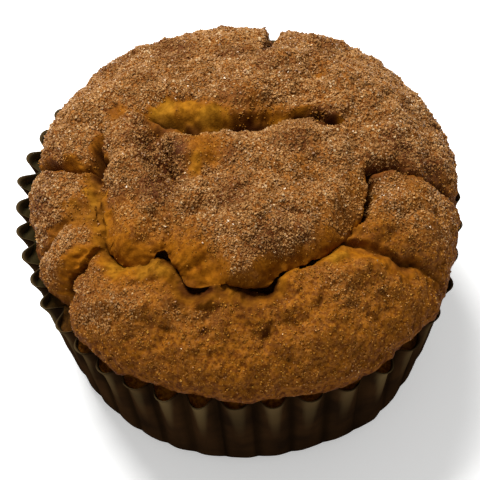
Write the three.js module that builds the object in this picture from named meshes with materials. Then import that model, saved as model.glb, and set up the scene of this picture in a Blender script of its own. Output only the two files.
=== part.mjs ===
// A cinnamon sugar muffin in its pleated paper baking case, in millimetres, +Z up.
// The origin is the centre of the flat base of the case. The crown's front, with its deep crevice, faces -Y.
import * as THREE from 'three';

const DEG = Math.PI / 180;

// Paper case: a flat disc, a rounded corner and a pleated wall that leans out to the rim.
const BASE_RADIUS = 26.5;
const CORNER_ROUND = 4.7;
const CORNER_SWEEP = 78 * DEG;
const RIM_RADIUS = 34.8;
const RIM_HEIGHT = 28.0;
const WALL_BULGE = 0.1;
const PAPER_THICKNESS = 0.4;
const CAKE_CLEARANCE = 0.35;
// The case leans: its rim is centred this far from the centre of its base, along X.
const RIM_SHIFT = -1.0;
// The corner is pushed out over two stretches near the front.
const CORNER_PUSH = [
  { at: -50 * DEG, width: 12 * DEG, size: 0.8 },
  { at: -120 * DEG, width: 25 * DEG, size: 0.5 },
];

// Pleats of the case. They are closer together on one side than on the other, as pressed paper is.
const PLEATS = 42;
const PLEAT_DEPTH = 1.2;
const PLEAT_DEPTH_AT_CORNER = 0.2;
const PLEAT_START = 11.7 * DEG;
const PLEAT_CROWDING = [
  { waves: 1, size: 4.51, turn: 40.4 * DEG },
  { waves: 2, size: 1.39, turn: 143.1 * DEG },
];

// How far the rim is from a true circle: each entry is a number of lobes, their size and where one of them points.
const RIM_OUT_OF_ROUND = [
  { lobes: 2, size: 0.16, at: -47 * DEG },
  { lobes: 3, size: 0.19, at: -49.5 * DEG },
  { lobes: 4, size: 0.22, at: -40 * DEG },
  { lobes: 5, size: 0.36, at: 27.5 * DEG },
];

// Crown: a flat dome whose widest line stands above the rim, with an underside that turns back in to the paper.
const CROWN_RADIUS = 34.3;
const CROWN_SHIFT = 0.5;
const CROWN_RISE = 14.5;
const WIDEST_ABOVE_RIM = 3.0;
const UNDERSIDE_TURN_IN = 1.1;
const UNDERSIDE_ABOVE_RIM = 0.55;
const DOME_FLATNESS = 2.3;
const DOME_SHOULDER = 0.6;
// Where the cake fills the pleats, it ends this far below the edge of the paper.
const CAKE_BELOW_EDGE = 1.5;
// Stretches of the crown's edge that bulge out or pull in, by bearing.
const CROWN_EDGE_SWELLS = [
  { at: -42 * DEG, width: 24 * DEG, size: 1.3 },
  { at: 38 * DEG, width: 28 * DEG, size: 1.0 },
  { at: 90 * DEG, width: 36 * DEG, size: -1.2 },
  { at: 152 * DEG, width: 20 * DEG, size: 1.3 },
  { at: 205 * DEG, width: 26 * DEG, size: -0.4 },
];

// Cracks in the crown. A path lists points on the floor of the crack in plan, from the middle of the crown: x, y and
// depth. Walking along the path, the steep wall is on the left and the gentle one is on the right. The lip is how far
// the brink of the steep wall is swollen up, and the overhang is how far that brink leans out over the floor.
const CRACKS = [
  {
    name: 'front crevice under the middle island',
    path: [
      [-22.8, -9.6, 1.6],
      [-19.4, -15.0, 3.8],
      [-13.2, -17.6, 3.8],
      [-7.6, -22.0, 4.8],
      [-0.6, -23.6, 5.0],
      [6.6, -22.2, 4.6],
      [12.6, -18.0, 4.2],
      [17.6, -13.4, 2.6],
    ],
    steep: 1.5,
    gentle: 3.3,
    lip: 0.9,
    overhang: 1.5,
  },
  {
    name: 'upper crevice behind the middle island',
    path: [
      [14.6, 7.2, 3.4],
      [10.4, 7.2, 4.2],
      [5.6, 5.2, 3.6],
      [0.2, 4.6, 3.8],
      [-6.0, 5.0, 3.8],
      [-11.4, 6.6, 3.2],
      [-14.6, 8.6, 1.4],
    ],
    steep: 1.4,
    gentle: 5.0,
    lip: 0.5,
    overhang: 0.5,
  },
  {
    name: 'valley between the island and the left lobes',
    path: [
      [-22.2, 6.4, 1.4],
      [-22.4, 2.2, 2.8],
      [-22.6, -2.2, 2.8],
      [-22.0, -6.4, 2.6],
      [-21.8, -10.6, 3.2],
      [-24.0, -13.8, 2.4],
    ],
    steep: 1.5,
    gentle: 3.4,
    lip: 0.3,
    overhang: 0.3,
  },
  {
    name: 'crack across the left lobes',
    path: [
      [-23.6, -0.6, 2.8],
      [-26.4, 0.2, 2.6],
      [-29.4, 1.2, 2.2],
      [-33.4, 2.4, 1.2],
    ],
    steep: 1.4,
    gentle: 2.4,
    lip: 0.3,
    overhang: 0.2,
  },
  {
    name: 'crack between the left and front lobes',
    path: [
      [-28.4, -22.6, 1.6],
      [-27.4, -18.8, 2.6],
      [-25.2, -15.8, 2.8],
      [-22.6, -13.0, 3.0],
    ],
    steep: 1.7,
    gentle: 1.7,
    lip: 0.2,
    overhang: 0.1,
  },
  {
    name: 'crack from the island to the right edge',
    path: [
      [34.4, 1.6, 1.6],
      [30.6, 0.2, 2.6],
      [27.0, -0.8, 1.8],
      [23.6, -2.4, 2.4],
      [20.4, -3.0, 2.8],
    ],
    steep: 1.4,
    gentle: 2.2,
    lip: 0.4,
    overhang: 0.2,
  },
  {
    name: 'crack between the island and the right lobe',
    path: [
      [17.2, -13.0, 1.8],
      [18.6, -9.6, 2.4],
      [20.2, -6.2, 3.0],
      [20.6, -3.0, 2.8],
    ],
    steep: 1.5,
    gentle: 1.9,
    lip: 0.3,
    overhang: 0.2,
  },
  {
    name: 'crack between the right and front lobes',
    path: [
      [30.6, -17.4, 0.8],
      [26.6, -16.0, 2.0],
      [22.8, -15.2, 2.2],
      [17.6, -13.4, 2.6],
    ],
    steep: 1.6,
    gentle: 2.8,
    lip: 0.4,
    overhang: 0.1,
  },
  {
    name: 'notch in the back edge',
    path: [
      [3.4, 23.6, 0.6],
      [4.2, 26.8, 2.0],
      [4.8, 30.2, 3.8],
      [5.2, 33.4, 3.0],
    ],
    steep: 1.6,
    gentle: 1.6,
    lip: 0.4,
    overhang: 0.0,
  },
];

// Rounded swellings (positive) and dents (negative) of the crown: place in plan, radius and height.
const SWELLINGS = [
  { at: [0.5, -13.5], radius: 8.5, height: 0.9 },
  { at: [-12.5, 1.0], radius: 3.6, height: -1.0 },
  { at: [-17.5, -6.5], radius: 5.0, height: 0.6 },
  { at: [11.5, -3.0], radius: 6.0, height: 0.5 },
  { at: [22.4, -17.2], radius: 2.4, height: 0.9 },
  { at: [-20.6, -17.0], radius: 3.4, height: 0.8 },
  { at: [0.5, -30.0], radius: 9.0, height: 0.5 },
  { at: [26.5, -7.5], radius: 6.0, height: 0.6 },
  { at: [-28.0, -6.0], radius: 5.0, height: 0.5 },
  { at: [11.6, 18.6], radius: 1.8, height: -1.1 },
  { at: [-5.0, 20.0], radius: 9.0, height: 0.4 },
  { at: [20.0, 14.0], radius: 8.0, height: 0.4 },
];

// Low waves all over the crown: wavelengths in millimetres, the bearing that each runs along, and a height.
const WAVES = [
  { length: 17.0, bearing: 20 * DEG, height: 0.16 },
  { length: 12.5, bearing: 95 * DEG, height: 0.14 },
  { length: 9.0, bearing: 150 * DEG, height: 0.1 },
];

// Mesh fineness: four corners a pleat, halved towards the middle of the crown.
const AROUND = PLEATS * 4;
const CORNER_STEPS = 2;
const WALL_STEPS = 2;
const UNDERSIDE_STEPS = 2;
const DOME_STEPS = 27;
const HALVE_AT_RADIUS = [18.5, 9.5, 4.5];
const CRACK_STEPS = 6;
const DOME_TABLE_STEPS = 400;

// Phase of the pleats at a bearing: a pleat's tip is where it is a whole number of turns.
function pleatPhase(bearing) {
  const crowding = PLEAT_CROWDING.reduce((sum, c) => sum + c.size * Math.sin(c.waves * bearing + c.turn), 0);
  return PLEATS * bearing - crowding - PLEAT_START;
}

// Bearings of the mesh columns, evenly spread in pleat phase, so that each tip and each valley has a column.
function columnBearings() {
  const bearings = [];
  for (let column = 0; column < AROUND; column++) {
    const phase = (column * 2 * Math.PI * PLEATS) / AROUND;
    let bearing = phase / PLEATS;
    for (let pass = 0; pass < 12; pass++) bearing += (phase - pleatPhase(bearing)) / PLEATS;
    bearings.push(bearing);
  }
  return bearings;
}

const BEARINGS = columnBearings();

// A zigzag from +1 at a pleat's tip to -1 in its valley.
function pleatWave(bearing) {
  const turn = pleatPhase(bearing) / (2 * Math.PI);
  const fraction = turn - Math.floor(turn);
  return Math.abs(fraction - 0.5) * 4 - 1;
}

// Small steady differences from pleat to pleat, between -1 and 1.
function pleatUnevenness(bearing) {
  const pleat = Math.round(pleatPhase(bearing) / (2 * Math.PI));
  return 0.6 * Math.sin(2.3 * pleat + 0.4) + 0.4 * Math.sin(5.1 * pleat);
}

// Sum of local swells of an edge at a bearing, each with its middle, width and size.
function swell(swells, bearing) {
  return swells.reduce((sum, one) => {
    const off = Math.atan2(Math.sin(bearing - one.at), Math.cos(bearing - one.at));
    return sum + one.size * Math.exp(-((off / one.width) ** 2));
  }, 0);
}

function outOfRound(bearing) {
  return RIM_OUT_OF_ROUND.reduce((sum, o) => sum + o.size * Math.cos(o.lobes * (bearing - o.at)), 0);
}

const CORNER_TOP_RADIUS = BASE_RADIUS + CORNER_ROUND * Math.sin(CORNER_SWEEP);
const CORNER_TOP_HEIGHT = CORNER_ROUND * (1 - Math.cos(CORNER_SWEEP));

// A point of the case's wall, set in from its outer face by `inset`. `height` is over the corner.
function wallPoint(bearing, height, inset) {
  const climb = (height - CORNER_TOP_HEIGHT) / (RIM_HEIGHT - CORNER_TOP_HEIGHT);
  const depth = THREE.MathUtils.lerp(PLEAT_DEPTH_AT_CORNER, PLEAT_DEPTH, climb);
  const pleat = depth * (pleatWave(bearing) + 0.2 * pleatUnevenness(bearing));
  const middle =
    THREE.MathUtils.lerp(CORNER_TOP_RADIUS, RIM_RADIUS, climb) +
    WALL_BULGE * Math.sin(Math.PI * Math.min(climb, 1)) +
    outOfRound(bearing) * climb +
    swell(CORNER_PUSH, bearing) * (1 - climb) ** 3;
  return polar(middle + pleat - inset, bearing, height, RIM_SHIFT * climb);
}

// A point of the rounded corner under the wall. `share` runs from 0 at the flat base to 1 at the wall.
function cornerPoint(bearing, share, inset) {
  const sweep = CORNER_SWEEP * share;
  const pushed = swell(CORNER_PUSH, bearing) * Math.sin(sweep);
  const pleat = PLEAT_DEPTH_AT_CORNER * share * (pleatWave(bearing) + 0.2 * pleatUnevenness(bearing));
  const reach = (CORNER_ROUND - inset) * Math.sin(sweep);
  const height = CORNER_ROUND - (CORNER_ROUND - inset) * Math.cos(sweep);
  return polar(BASE_RADIUS + reach + pleat + pushed, bearing, height, 0);
}

function polar(radius, bearing, height, shift) {
  return new THREE.Vector3(radius * Math.cos(bearing) + shift, radius * Math.sin(bearing), height);
}

function ring(makePoint) {
  return BEARINGS.map(makePoint);
}

// The rings of the case's wall from the flat base up, set in by `inset`, up to `topHeight`.
function wallRings(inset, topHeight) {
  const rings = [];
  for (let step = 0; step <= CORNER_STEPS; step++) {
    rings.push(ring((bearing) => cornerPoint(bearing, step / CORNER_STEPS, inset)));
  }
  for (let step = 1; step <= WALL_STEPS; step++) {
    const height = THREE.MathUtils.lerp(CORNER_TOP_HEIGHT, topHeight, step / WALL_STEPS);
    rings.push(ring((bearing) => wallPoint(bearing, height, inset)));
  }
  return rings;
}

// One closed surface from a stack of rings, closed by a fan at each end. A ring has as many points as the one before
// it or half as many. Rings run the way that puts the outside on the right hand of the stack's direction.
function stackRings(rings, firstCentre, lastCentre) {
  const points = [];
  const faces = [];
  const starts = rings.map((points_) => {
    points.push(...points_);
    return points.length - points_.length;
  });
  for (let level = 0; level + 1 < rings.length; level++) {
    const lower = starts[level];
    const upper = starts[level + 1];
    const count = rings[level].length;
    const halved = rings[level + 1].length < count;
    for (let k = 0; k < count; k++) {
      const next = (k + 1) % count;
      if (!halved) {
        // Each quad is split along its shorter diagonal, which keeps the brinks of the cracks clean.
        const rising = points[lower + k].distanceTo(points[upper + next]);
        const falling = points[lower + next].distanceTo(points[upper + k]);
        if (rising <= falling) {
          faces.push([lower + k, lower + next, upper + next], [lower + k, upper + next, upper + k]);
        } else {
          faces.push([lower + k, lower + next, upper + k], [lower + next, upper + next, upper + k]);
        }
      } else if (k % 2 === 0) {
        const here = k / 2;
        const after = (here + 1) % (count / 2);
        faces.push([lower + k, lower + k + 1, upper + here]);
        faces.push([lower + k + 1, lower + ((k + 2) % count), upper + after]);
        faces.push([lower + k + 1, upper + after, upper + here]);
      }
    }
  }
  const first = points.push(firstCentre) - 1;
  const last = points.push(lastCentre) - 1;
  const bottomCount = rings[0].length;
  for (let k = 0; k < bottomCount; k++) faces.push([first, (k + 1) % bottomCount, k]);
  const top = starts[starts.length - 1];
  const topCount = rings[rings.length - 1].length;
  for (let k = 0; k < topCount; k++) faces.push([top + k, top + ((k + 1) % topCount), last]);
  const geometry = new THREE.BufferGeometry().setFromPoints(points);
  geometry.setIndex(faces.flat());
  geometry.computeVertexNormals();
  return geometry;
}

function caseGeometry() {
  const outer = wallRings(0, RIM_HEIGHT);
  const inner = wallRings(PAPER_THICKNESS, RIM_HEIGHT).reverse();
  const underside = new THREE.Vector3(0, 0, 0);
  const floor = new THREE.Vector3(0, 0, PAPER_THICKNESS);
  return stackRings([...outer, ...inner], underside, floor);
}

// Radius of the crown's widest line at a bearing.
function crownRadius(bearing) {
  return CROWN_RADIUS + swell(CROWN_EDGE_SWELLS, bearing);
}

// Shares of the dome's radius and rise at an angle that runs from 0 at the top to a quarter turn at the widest line.
function domeShares(angle) {
  return {
    reach: Math.sin(angle) ** (2 / DOME_FLATNESS),
    rise: Math.max(Math.cos(angle), 0) ** (2 * DOME_SHOULDER),
  };
}

// Angles that are evenly spaced along the dome's profile, from the widest line to the top.
function domeAngles(count) {
  const lengths = [0];
  const at = (step) => {
    const { reach, rise } = domeShares((Math.PI / 2) * (1 - step / DOME_TABLE_STEPS));
    return new THREE.Vector2(reach * CROWN_RADIUS, rise * CROWN_RISE);
  };
  for (let step = 1; step <= DOME_TABLE_STEPS; step++) {
    lengths.push(lengths[step - 1] + at(step).distanceTo(at(step - 1)));
  }
  const angles = [];
  for (let k = 0; k < count; k++) {
    const wanted = (lengths[DOME_TABLE_STEPS] * k) / count;
    const step = lengths.findIndex((length) => length >= wanted);
    angles.push((Math.PI / 2) * (1 - step / DOME_TABLE_STEPS));
  }
  return angles;
}

// The smooth dome before its cracks: a point and the direction that faces out of it.
function domePoint(bearing, angle) {
  const edge = crownRadius(bearing);
  const { reach, rise } = domeShares(angle);
  const steepness =
    ((CROWN_RISE * DOME_SHOULDER * DOME_FLATNESS) / edge) *
    reach ** (DOME_FLATNESS - 1) *
    Math.max(1 - reach ** DOME_FLATNESS, 1e-6) ** (DOME_SHOULDER - 1);
  const lean = Math.atan(steepness);
  return {
    point: polar(edge * reach, bearing, WIDEST_ABOVE_RIM + CROWN_RISE * rise, 0),
    out: polar(Math.sin(lean), bearing, Math.cos(lean), 0),
  };
}

// Height of the smooth dome over the rim at a place in plan.
function domeHeight(x, y) {
  const share = Math.min(Math.hypot(x, y) / crownRadius(Math.atan2(y, x)), 1);
  return WIDEST_ABOVE_RIM + CROWN_RISE * (1 - share ** DOME_FLATNESS) ** DOME_SHOULDER;
}

// Each crack's path as a smooth line on the dome, with the depth along it.
const CRACK_LINES = CRACKS.map((crack) => {
  const onPlan = new THREE.CatmullRomCurve3(
    crack.path.map(([x, y, depth]) => new THREE.Vector3(x, y, depth)),
    false,
    'catmullrom',
    0.5,
  );
  const samples = onPlan.getPoints(crack.path.length * CRACK_STEPS);
  return samples.map(({ x, y, z }) => ({ at: new THREE.Vector3(x, y, domeHeight(x, y)), depth: z }));
});

// The nearest place on a crack: how far it is, with a plus on the steep side, the depth there and the way across.
function nearestOnCrack(line, point) {
  let best = { distance: Infinity };
  for (let k = 0; k + 1 < line.length; k++) {
    const along = line[k + 1].at.clone().sub(line[k].at);
    const from = point.clone().sub(line[k].at);
    const share = THREE.MathUtils.clamp(from.dot(along) / along.lengthSq(), 0, 1);
    const distance = from.distanceTo(along.clone().multiplyScalar(share));
    if (distance < Math.abs(best.distance)) {
      const side = Math.sign(along.x * from.y - along.y * from.x) || 1;
      best = {
        distance: side * distance,
        depth: THREE.MathUtils.lerp(line[k].depth, line[k + 1].depth, share),
        across: new THREE.Vector3(-along.y, along.x, 0).normalize(),
      };
    }
  }
  return best;
}

function fade(share) {
  return 1 - THREE.MathUtils.smoothstep(share, 0, 1);
}

// A hump that is 0 at 0, 1 at `peak` and 0 again from `end` on.
function hump(distance, peak, end) {
  return distance < peak
    ? THREE.MathUtils.smoothstep(distance, 0, peak)
    : 1 - THREE.MathUtils.smoothstep(distance, peak, end);
}

// The crown's surface: the smooth dome moved by its cracks, swellings and waves.
function crownPoint(bearing, angle) {
  const { point, out } = domePoint(bearing, angle);
  return carve(point, out);
}

function carve(point, out) {
  let drops = 0;
  let raised = 0;
  const lean = new THREE.Vector3();
  CRACKS.forEach((crack, index) => {
    const { distance, depth, across } = nearestOnCrack(CRACK_LINES[index], point);
    const steepSide = distance > 0;
    const width = steepSide ? crack.steep : crack.gentle;
    const away = Math.abs(distance);
    drops += (depth * fade(away / width)) ** 4;
    if (steepSide && depth > 0) {
      const brink = hump(away, crack.steep, crack.steep + 5) * Math.min(depth / 3, 1);
      raised += crack.lip * brink;
      lean.addScaledVector(across, -crack.overhang * brink);
    }
  });
  SWELLINGS.forEach(({ at, radius, height }) => {
    raised += height * Math.exp(-(((point.x - at[0]) ** 2 + (point.y - at[1]) ** 2) / radius ** 2));
  });
  WAVES.forEach(({ length, bearing, height }) => {
    const along = point.x * Math.cos(bearing) + point.y * Math.sin(bearing);
    raised += height * Math.sin((2 * Math.PI * along) / length);
  });
  lean.addScaledVector(out, -lean.dot(out));
  return point
    .clone()
    .addScaledVector(out, raised - drops ** 0.25)
    .add(lean);
}

function everyOther(points) {
  return points.filter((_, index) => index % 2 === 0);
}

function cakeGeometry() {
  const inset = PAPER_THICKNESS + CAKE_CLEARANCE;
  const crownCentre = new THREE.Vector3(RIM_SHIFT + CROWN_SHIFT, 0, RIM_HEIGHT);
  const rings = wallRings(inset, RIM_HEIGHT - CAKE_BELOW_EDGE);

  // In the valleys the cake climbs straight over the edge of the paper, and in the tips it turns in below it.
  rings.push(
    ring((bearing) => {
      const tip = (pleatWave(bearing) + 1) / 2;
      const height = THREE.MathUtils.lerp(RIM_HEIGHT + CAKE_CLEARANCE, RIM_HEIGHT - CAKE_BELOW_EDGE + 0.2, tip);
      return wallPoint(bearing, height, inset + 1.3 * tip);
    }),
  );
  for (let step = 0; step < UNDERSIDE_STEPS; step++) {
    const sweep = (Math.PI / 2) * (1 - step / UNDERSIDE_STEPS);
    rings.push(
      ring((bearing) => {
        const { point, out } = domePoint(bearing, Math.PI / 2);
        const turnIn = UNDERSIDE_TURN_IN * (1 - Math.cos(sweep));
        const drop = (WIDEST_ABOVE_RIM - UNDERSIDE_ABOVE_RIM) * Math.sin(sweep);
        return carve(point, out).addScaledVector(out, -turnIn).setZ(WIDEST_ABOVE_RIM - drop).add(crownCentre);
      }),
    );
  }
  let keepEvery = (points) => points;
  let halvings = 0;
  domeAngles(DOME_STEPS).forEach((angle) => {
    const radius = CROWN_RADIUS * domeShares(angle).reach;
    if (radius < HALVE_AT_RADIUS[halvings]) {
      const keepBefore = keepEvery;
      keepEvery = (points) => everyOther(keepBefore(points));
      halvings += 1;
    }
    rings.push(keepEvery(BEARINGS).map((bearing) => crownPoint(bearing, angle).add(crownCentre)));
  });
  const top = crownPoint(0, 0).add(crownCentre);
  return stackRings(rings, new THREE.Vector3(0, 0, inset), top);
}

const muffin = new THREE.Mesh(
  cakeGeometry(),
  new THREE.MeshStandardMaterial({ color: '#b9772f', roughness: 0.9, metalness: 0 }),
);
muffin.name = 'muffin';

const paperCase = new THREE.Mesh(
  caseGeometry(),
  new THREE.MeshStandardMaterial({ color: '#33291a', roughness: 0.55, metalness: 0 }),
);
paperCase.name = 'paper_case';

const muffinInCase = new THREE.Group();
muffinInCase.add(muffin, paperCase);

export default muffinInCase;
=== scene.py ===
"""Cinnamon sugar muffin in its pleated paper baking case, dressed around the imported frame.

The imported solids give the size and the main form. This script makes the fine surface of the cake, the thin
pleated paper and the cinnamon sugar on the crown. Sizes are in millimetres until a mesh is written, in the
frame whose origin is the centre of the base of the case. Bearings are angles in plan, in radians.
"""

from __future__ import annotations

import itertools
import logging
import math
from collections.abc import Iterator
from dataclasses import dataclass, field
from enum import Enum

import bpy
import numpy as np
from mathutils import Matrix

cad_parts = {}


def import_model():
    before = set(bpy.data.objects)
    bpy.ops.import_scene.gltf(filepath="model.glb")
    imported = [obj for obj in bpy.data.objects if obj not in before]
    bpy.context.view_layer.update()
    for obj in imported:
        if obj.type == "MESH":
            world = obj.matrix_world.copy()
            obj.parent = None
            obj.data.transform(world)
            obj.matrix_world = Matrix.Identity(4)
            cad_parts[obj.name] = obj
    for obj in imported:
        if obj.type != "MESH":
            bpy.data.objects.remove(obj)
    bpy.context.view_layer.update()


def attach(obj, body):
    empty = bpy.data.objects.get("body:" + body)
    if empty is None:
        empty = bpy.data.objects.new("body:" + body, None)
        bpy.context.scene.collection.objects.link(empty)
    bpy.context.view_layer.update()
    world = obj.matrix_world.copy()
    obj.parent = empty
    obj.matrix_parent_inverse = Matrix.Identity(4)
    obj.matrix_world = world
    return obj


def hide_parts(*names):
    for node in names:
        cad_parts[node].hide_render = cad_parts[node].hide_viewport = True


LOG = logging.getLogger("muffin")
MM = 0.001
BODY = "root"
CAKE_NODE = "muffin"
CASE_NODE = "paper_case"
CAKE_SLOT = "sugared_cake"
PAPER_SLOT = "baking_paper"
TURN = 2.0 * math.pi

Array = np.ndarray
Marks = dict[str, Array]
Span = tuple[float, float]
Tree = bpy.types.NodeTree
Node = bpy.types.Node
Socket = bpy.types.NodeSocket
Material = bpy.types.Material


def degrees(value: float) -> float:
    """Radians of an angle in degrees."""
    return math.radians(value)


def smooth_step(value: Array, low: Array | float, high: Array | float) -> Array:
    """Smooth rise from 0 where the value is low to 1 where it is high."""
    share = np.clip((value - low) / (high - low), 0.0, 1.0)
    return share * share * (3.0 - 2.0 * share)


def hump(distance: Array, peak: Array | float, end: Array | float) -> Array:
    """A hump that is 0 at distance 0, 1 at the peak and 0 again from the end on."""
    fall = 1.0 - smooth_step(distance, peak, end)
    return np.where(distance < peak, smooth_step(distance, 0.0, peak), fall)


def plan_points(radius: Array | float, bearings: Array, height: Array | float) -> Array:
    """Points at a radius, a bearing and a height."""
    columns = (radius * np.cos(bearings), radius * np.sin(bearings), height)
    return np.stack(np.broadcast_arrays(*columns), axis=1)


def linear_colour(colour: str) -> tuple[float, float, float, float]:
    """Linear colour of an sRGB hex value.

    Args:
        colour: six hex digits after a hash.

    Returns:
        Red, green, blue and a full alpha, in linear light.
    """
    parts = [int(colour[start : start + 2], 16) / 255.0 for start in (1, 3, 5)]
    red, green, blue = [p / 12.92 if p <= 0.04045 else ((p + 0.055) / 1.055) ** 2.4 for p in parts]
    return (red, green, blue, 1.0)


class SolidNoise:
    """Smooth seeded noise in space. Every method takes places in millimetres, one a row.

    The gain brings the waves to about -1 and 1, and the shift keeps one layer's bumps off the next one's.
    """

    GAIN = 1.6
    SHIFT = 17.3

    def __init__(self, seed: int) -> None:
        """Draws the noise's table. The same seed gives the same noise."""
        rng = np.random.default_rng(seed)
        self.order = rng.permutation(256)
        slopes = rng.normal(size=(256, 3))
        self.slopes = slopes / np.linalg.norm(slopes, axis=1, keepdims=True)
        self.offsets = rng.random((256, 3))

    def _table_row(self, cells: Array) -> Array:
        """Table row of each whole-number cell."""
        first = self.order[cells[:, 0] & 255]
        second = self.order[(first + cells[:, 1]) & 255]
        return self.order[(second + cells[:, 2]) & 255]

    def waves(self, points: Array, size: float) -> Array:
        """Soft noise between about -1 and 1, with bumps of one size in millimetres."""
        spots = points / size
        cells = np.floor(spots).astype(np.int64)
        inside = spots - cells
        blend = inside**3 * (inside * (inside * 6.0 - 15.0) + 10.0)
        total = np.zeros(len(points))
        for corner in itertools.product((0, 1), repeat=3):
            step = np.array(corner)
            slopes = self.slopes[self._table_row(cells + step)]
            weight = np.prod(np.where(step == 1, blend, 1.0 - blend), axis=1)
            total += weight * np.einsum("ij,ij->i", slopes, inside - step)
        return total * self.GAIN

    def layers(self, points: Array, size: float, count: int) -> Array:
        """Noise made of finer and finer layers, each half the size and strength of the one before.

        Args:
            points: the places.
            size: distance between the largest bumps in millimetres.
            count: how many layers.

        Returns:
            A number between about -1 and 1 for each place.
        """
        total = np.zeros(len(points))
        for layer in range(count):
            total += self.waves(points + self.SHIFT * layer, size / 2**layer) / 2**layer
        return total

    def pillows(self, points: Array, size: float) -> Array:
        """Rounded lumps, from about -0.5 in the sharp crease between two to 1 on top, spaced by size."""
        return 2.4 * np.abs(self.waves(points, 1.4 * size)) - 0.5

    def pores(self, points: Array, spacing: float, radius: float, share: float) -> Array:
        """Small round holes scattered in space.

        Args:
            points: the places.
            spacing: average distance between candidate holes in millimetres.
            radius: radius of a hole in millimetres.
            share: part of the candidates that are holes.

        Returns:
            1 in the middle of a hole, 0 from its rim out.
        """
        spots = points / spacing
        cells = np.floor(spots).astype(np.int64)
        deepest = np.zeros(len(points))
        for step in itertools.product((-1, 0, 1), repeat=3):
            cell = cells + np.array(step)
            row = self._table_row(cell)
            middle = cell + self.offsets[row]
            distance = np.linalg.norm(spots - middle, axis=1) * spacing
            hole = np.clip(1.0 - distance / radius, 0.0, 1.0) * (row < share * 256)
            deepest = np.maximum(deepest, hole)
        return deepest


@dataclass
class MeshArrays:
    """Points and faces of a mesh in the making, with named numbers at each point."""

    points: Array
    faces: Array
    marks: Marks = field(default_factory=dict)

    def write(self, name: str, material: Material, slot: str, smooth: bool = True) -> bpy.types.Object:
        """Writes the arrays as an object of the scene that rides on the body.

        Args:
            name: name of the new object.
            material: its finish.
            slot: not used.
            smooth: whether its faces are shaded as one smooth surface.

        Returns:
            The new object.
        """
        mesh = bpy.data.meshes.new(name)
        mesh.vertices.add(len(self.points))
        mesh.vertices.foreach_set("co", (self.points * MM).astype(np.float32).ravel())
        mesh.loops.add(self.faces.size)
        mesh.loops.foreach_set("vertex_index", self.faces.astype(np.int32).ravel())
        mesh.polygons.add(len(self.faces))
        starts = np.arange(0, self.faces.size, self.faces.shape[1], dtype=np.int32)
        mesh.polygons.foreach_set("loop_start", starts)
        mesh.polygons.foreach_set("use_smooth", np.full(len(self.faces), smooth))
        mesh.update(calc_edges=True)
        mesh.validate()
        for mark, numbers in self.marks.items():
            layer = mesh.attributes.new(mark, "FLOAT", "POINT")
            layer.data.foreach_set("value", numbers.astype(np.float32))
        mesh.materials.append(material)
        piece = bpy.data.objects.new(name, mesh)
        bpy.context.scene.collection.objects.link(piece)
        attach(piece, BODY)
        LOG.info("%s: %d faces", name, len(self.faces))
        return piece


def stack_rings(rings: list[Array], first_centre: Array, last_centre: Array) -> tuple[Array, Array]:
    """One closed surface of triangles from a stack of rings with a fan at each end.

    Args:
        rings: points of each ring. A ring has as many points as the one before it, or half as many.
        first_centre: middle of the fan that closes the first ring.
        last_centre: middle of the fan that closes the last ring.

    Returns:
        The points, with the two centres last, and the triangles.
    """
    starts = np.cumsum([0] + [len(ring) for ring in rings])
    triangles = []

    def add(*corners: Array | int) -> None:
        """Adds triangles, given their first, second and third corners."""
        triangles.append(np.stack(np.broadcast_arrays(*corners), axis=1))

    for lower, upper, ring, above in zip(starts, starts[1:], rings, rings[1:]):
        here = np.arange(len(ring))
        after = (here + 1) % len(ring)
        if len(above) == len(ring):
            add(lower + here, lower + after, upper + after)
            add(lower + here, upper + after, upper + here)
        else:
            even = here[::2]
            over = even // 2
            next_over = (over + 1) % len(above)
            add(lower + even, lower + even + 1, upper + over)
            add(lower + even + 1, lower + (even + 2) % len(ring), upper + next_over)
            add(lower + even + 1, upper + next_over, upper + over)
    bottom = np.arange(len(rings[0]))
    top = np.arange(len(rings[-1]))
    add(starts[-1], (bottom + 1) % len(bottom), bottom)
    add(starts[-2] + top, starts[-2] + (top + 1) % len(top), starts[-1] + 1)
    return np.concatenate([*rings, first_centre[None], last_centre[None]]), np.concatenate(triangles)


@dataclass(frozen=True)
class Swell:
    """A stretch of an edge that bulges out or pulls in: its bearing, its width and how far it goes."""

    at: float
    width: float
    size: float

    @staticmethod
    def total(swells: tuple[Swell, ...], bearings: Array) -> Array:
        """How far several swells move the edge at each bearing."""
        moved = 0
        for swell in swells:
            off = np.arctan2(np.sin(bearings - swell.at), np.cos(bearings - swell.at))
            moved = moved + swell.size * np.exp(-((off / swell.width) ** 2))
        return moved


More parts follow.
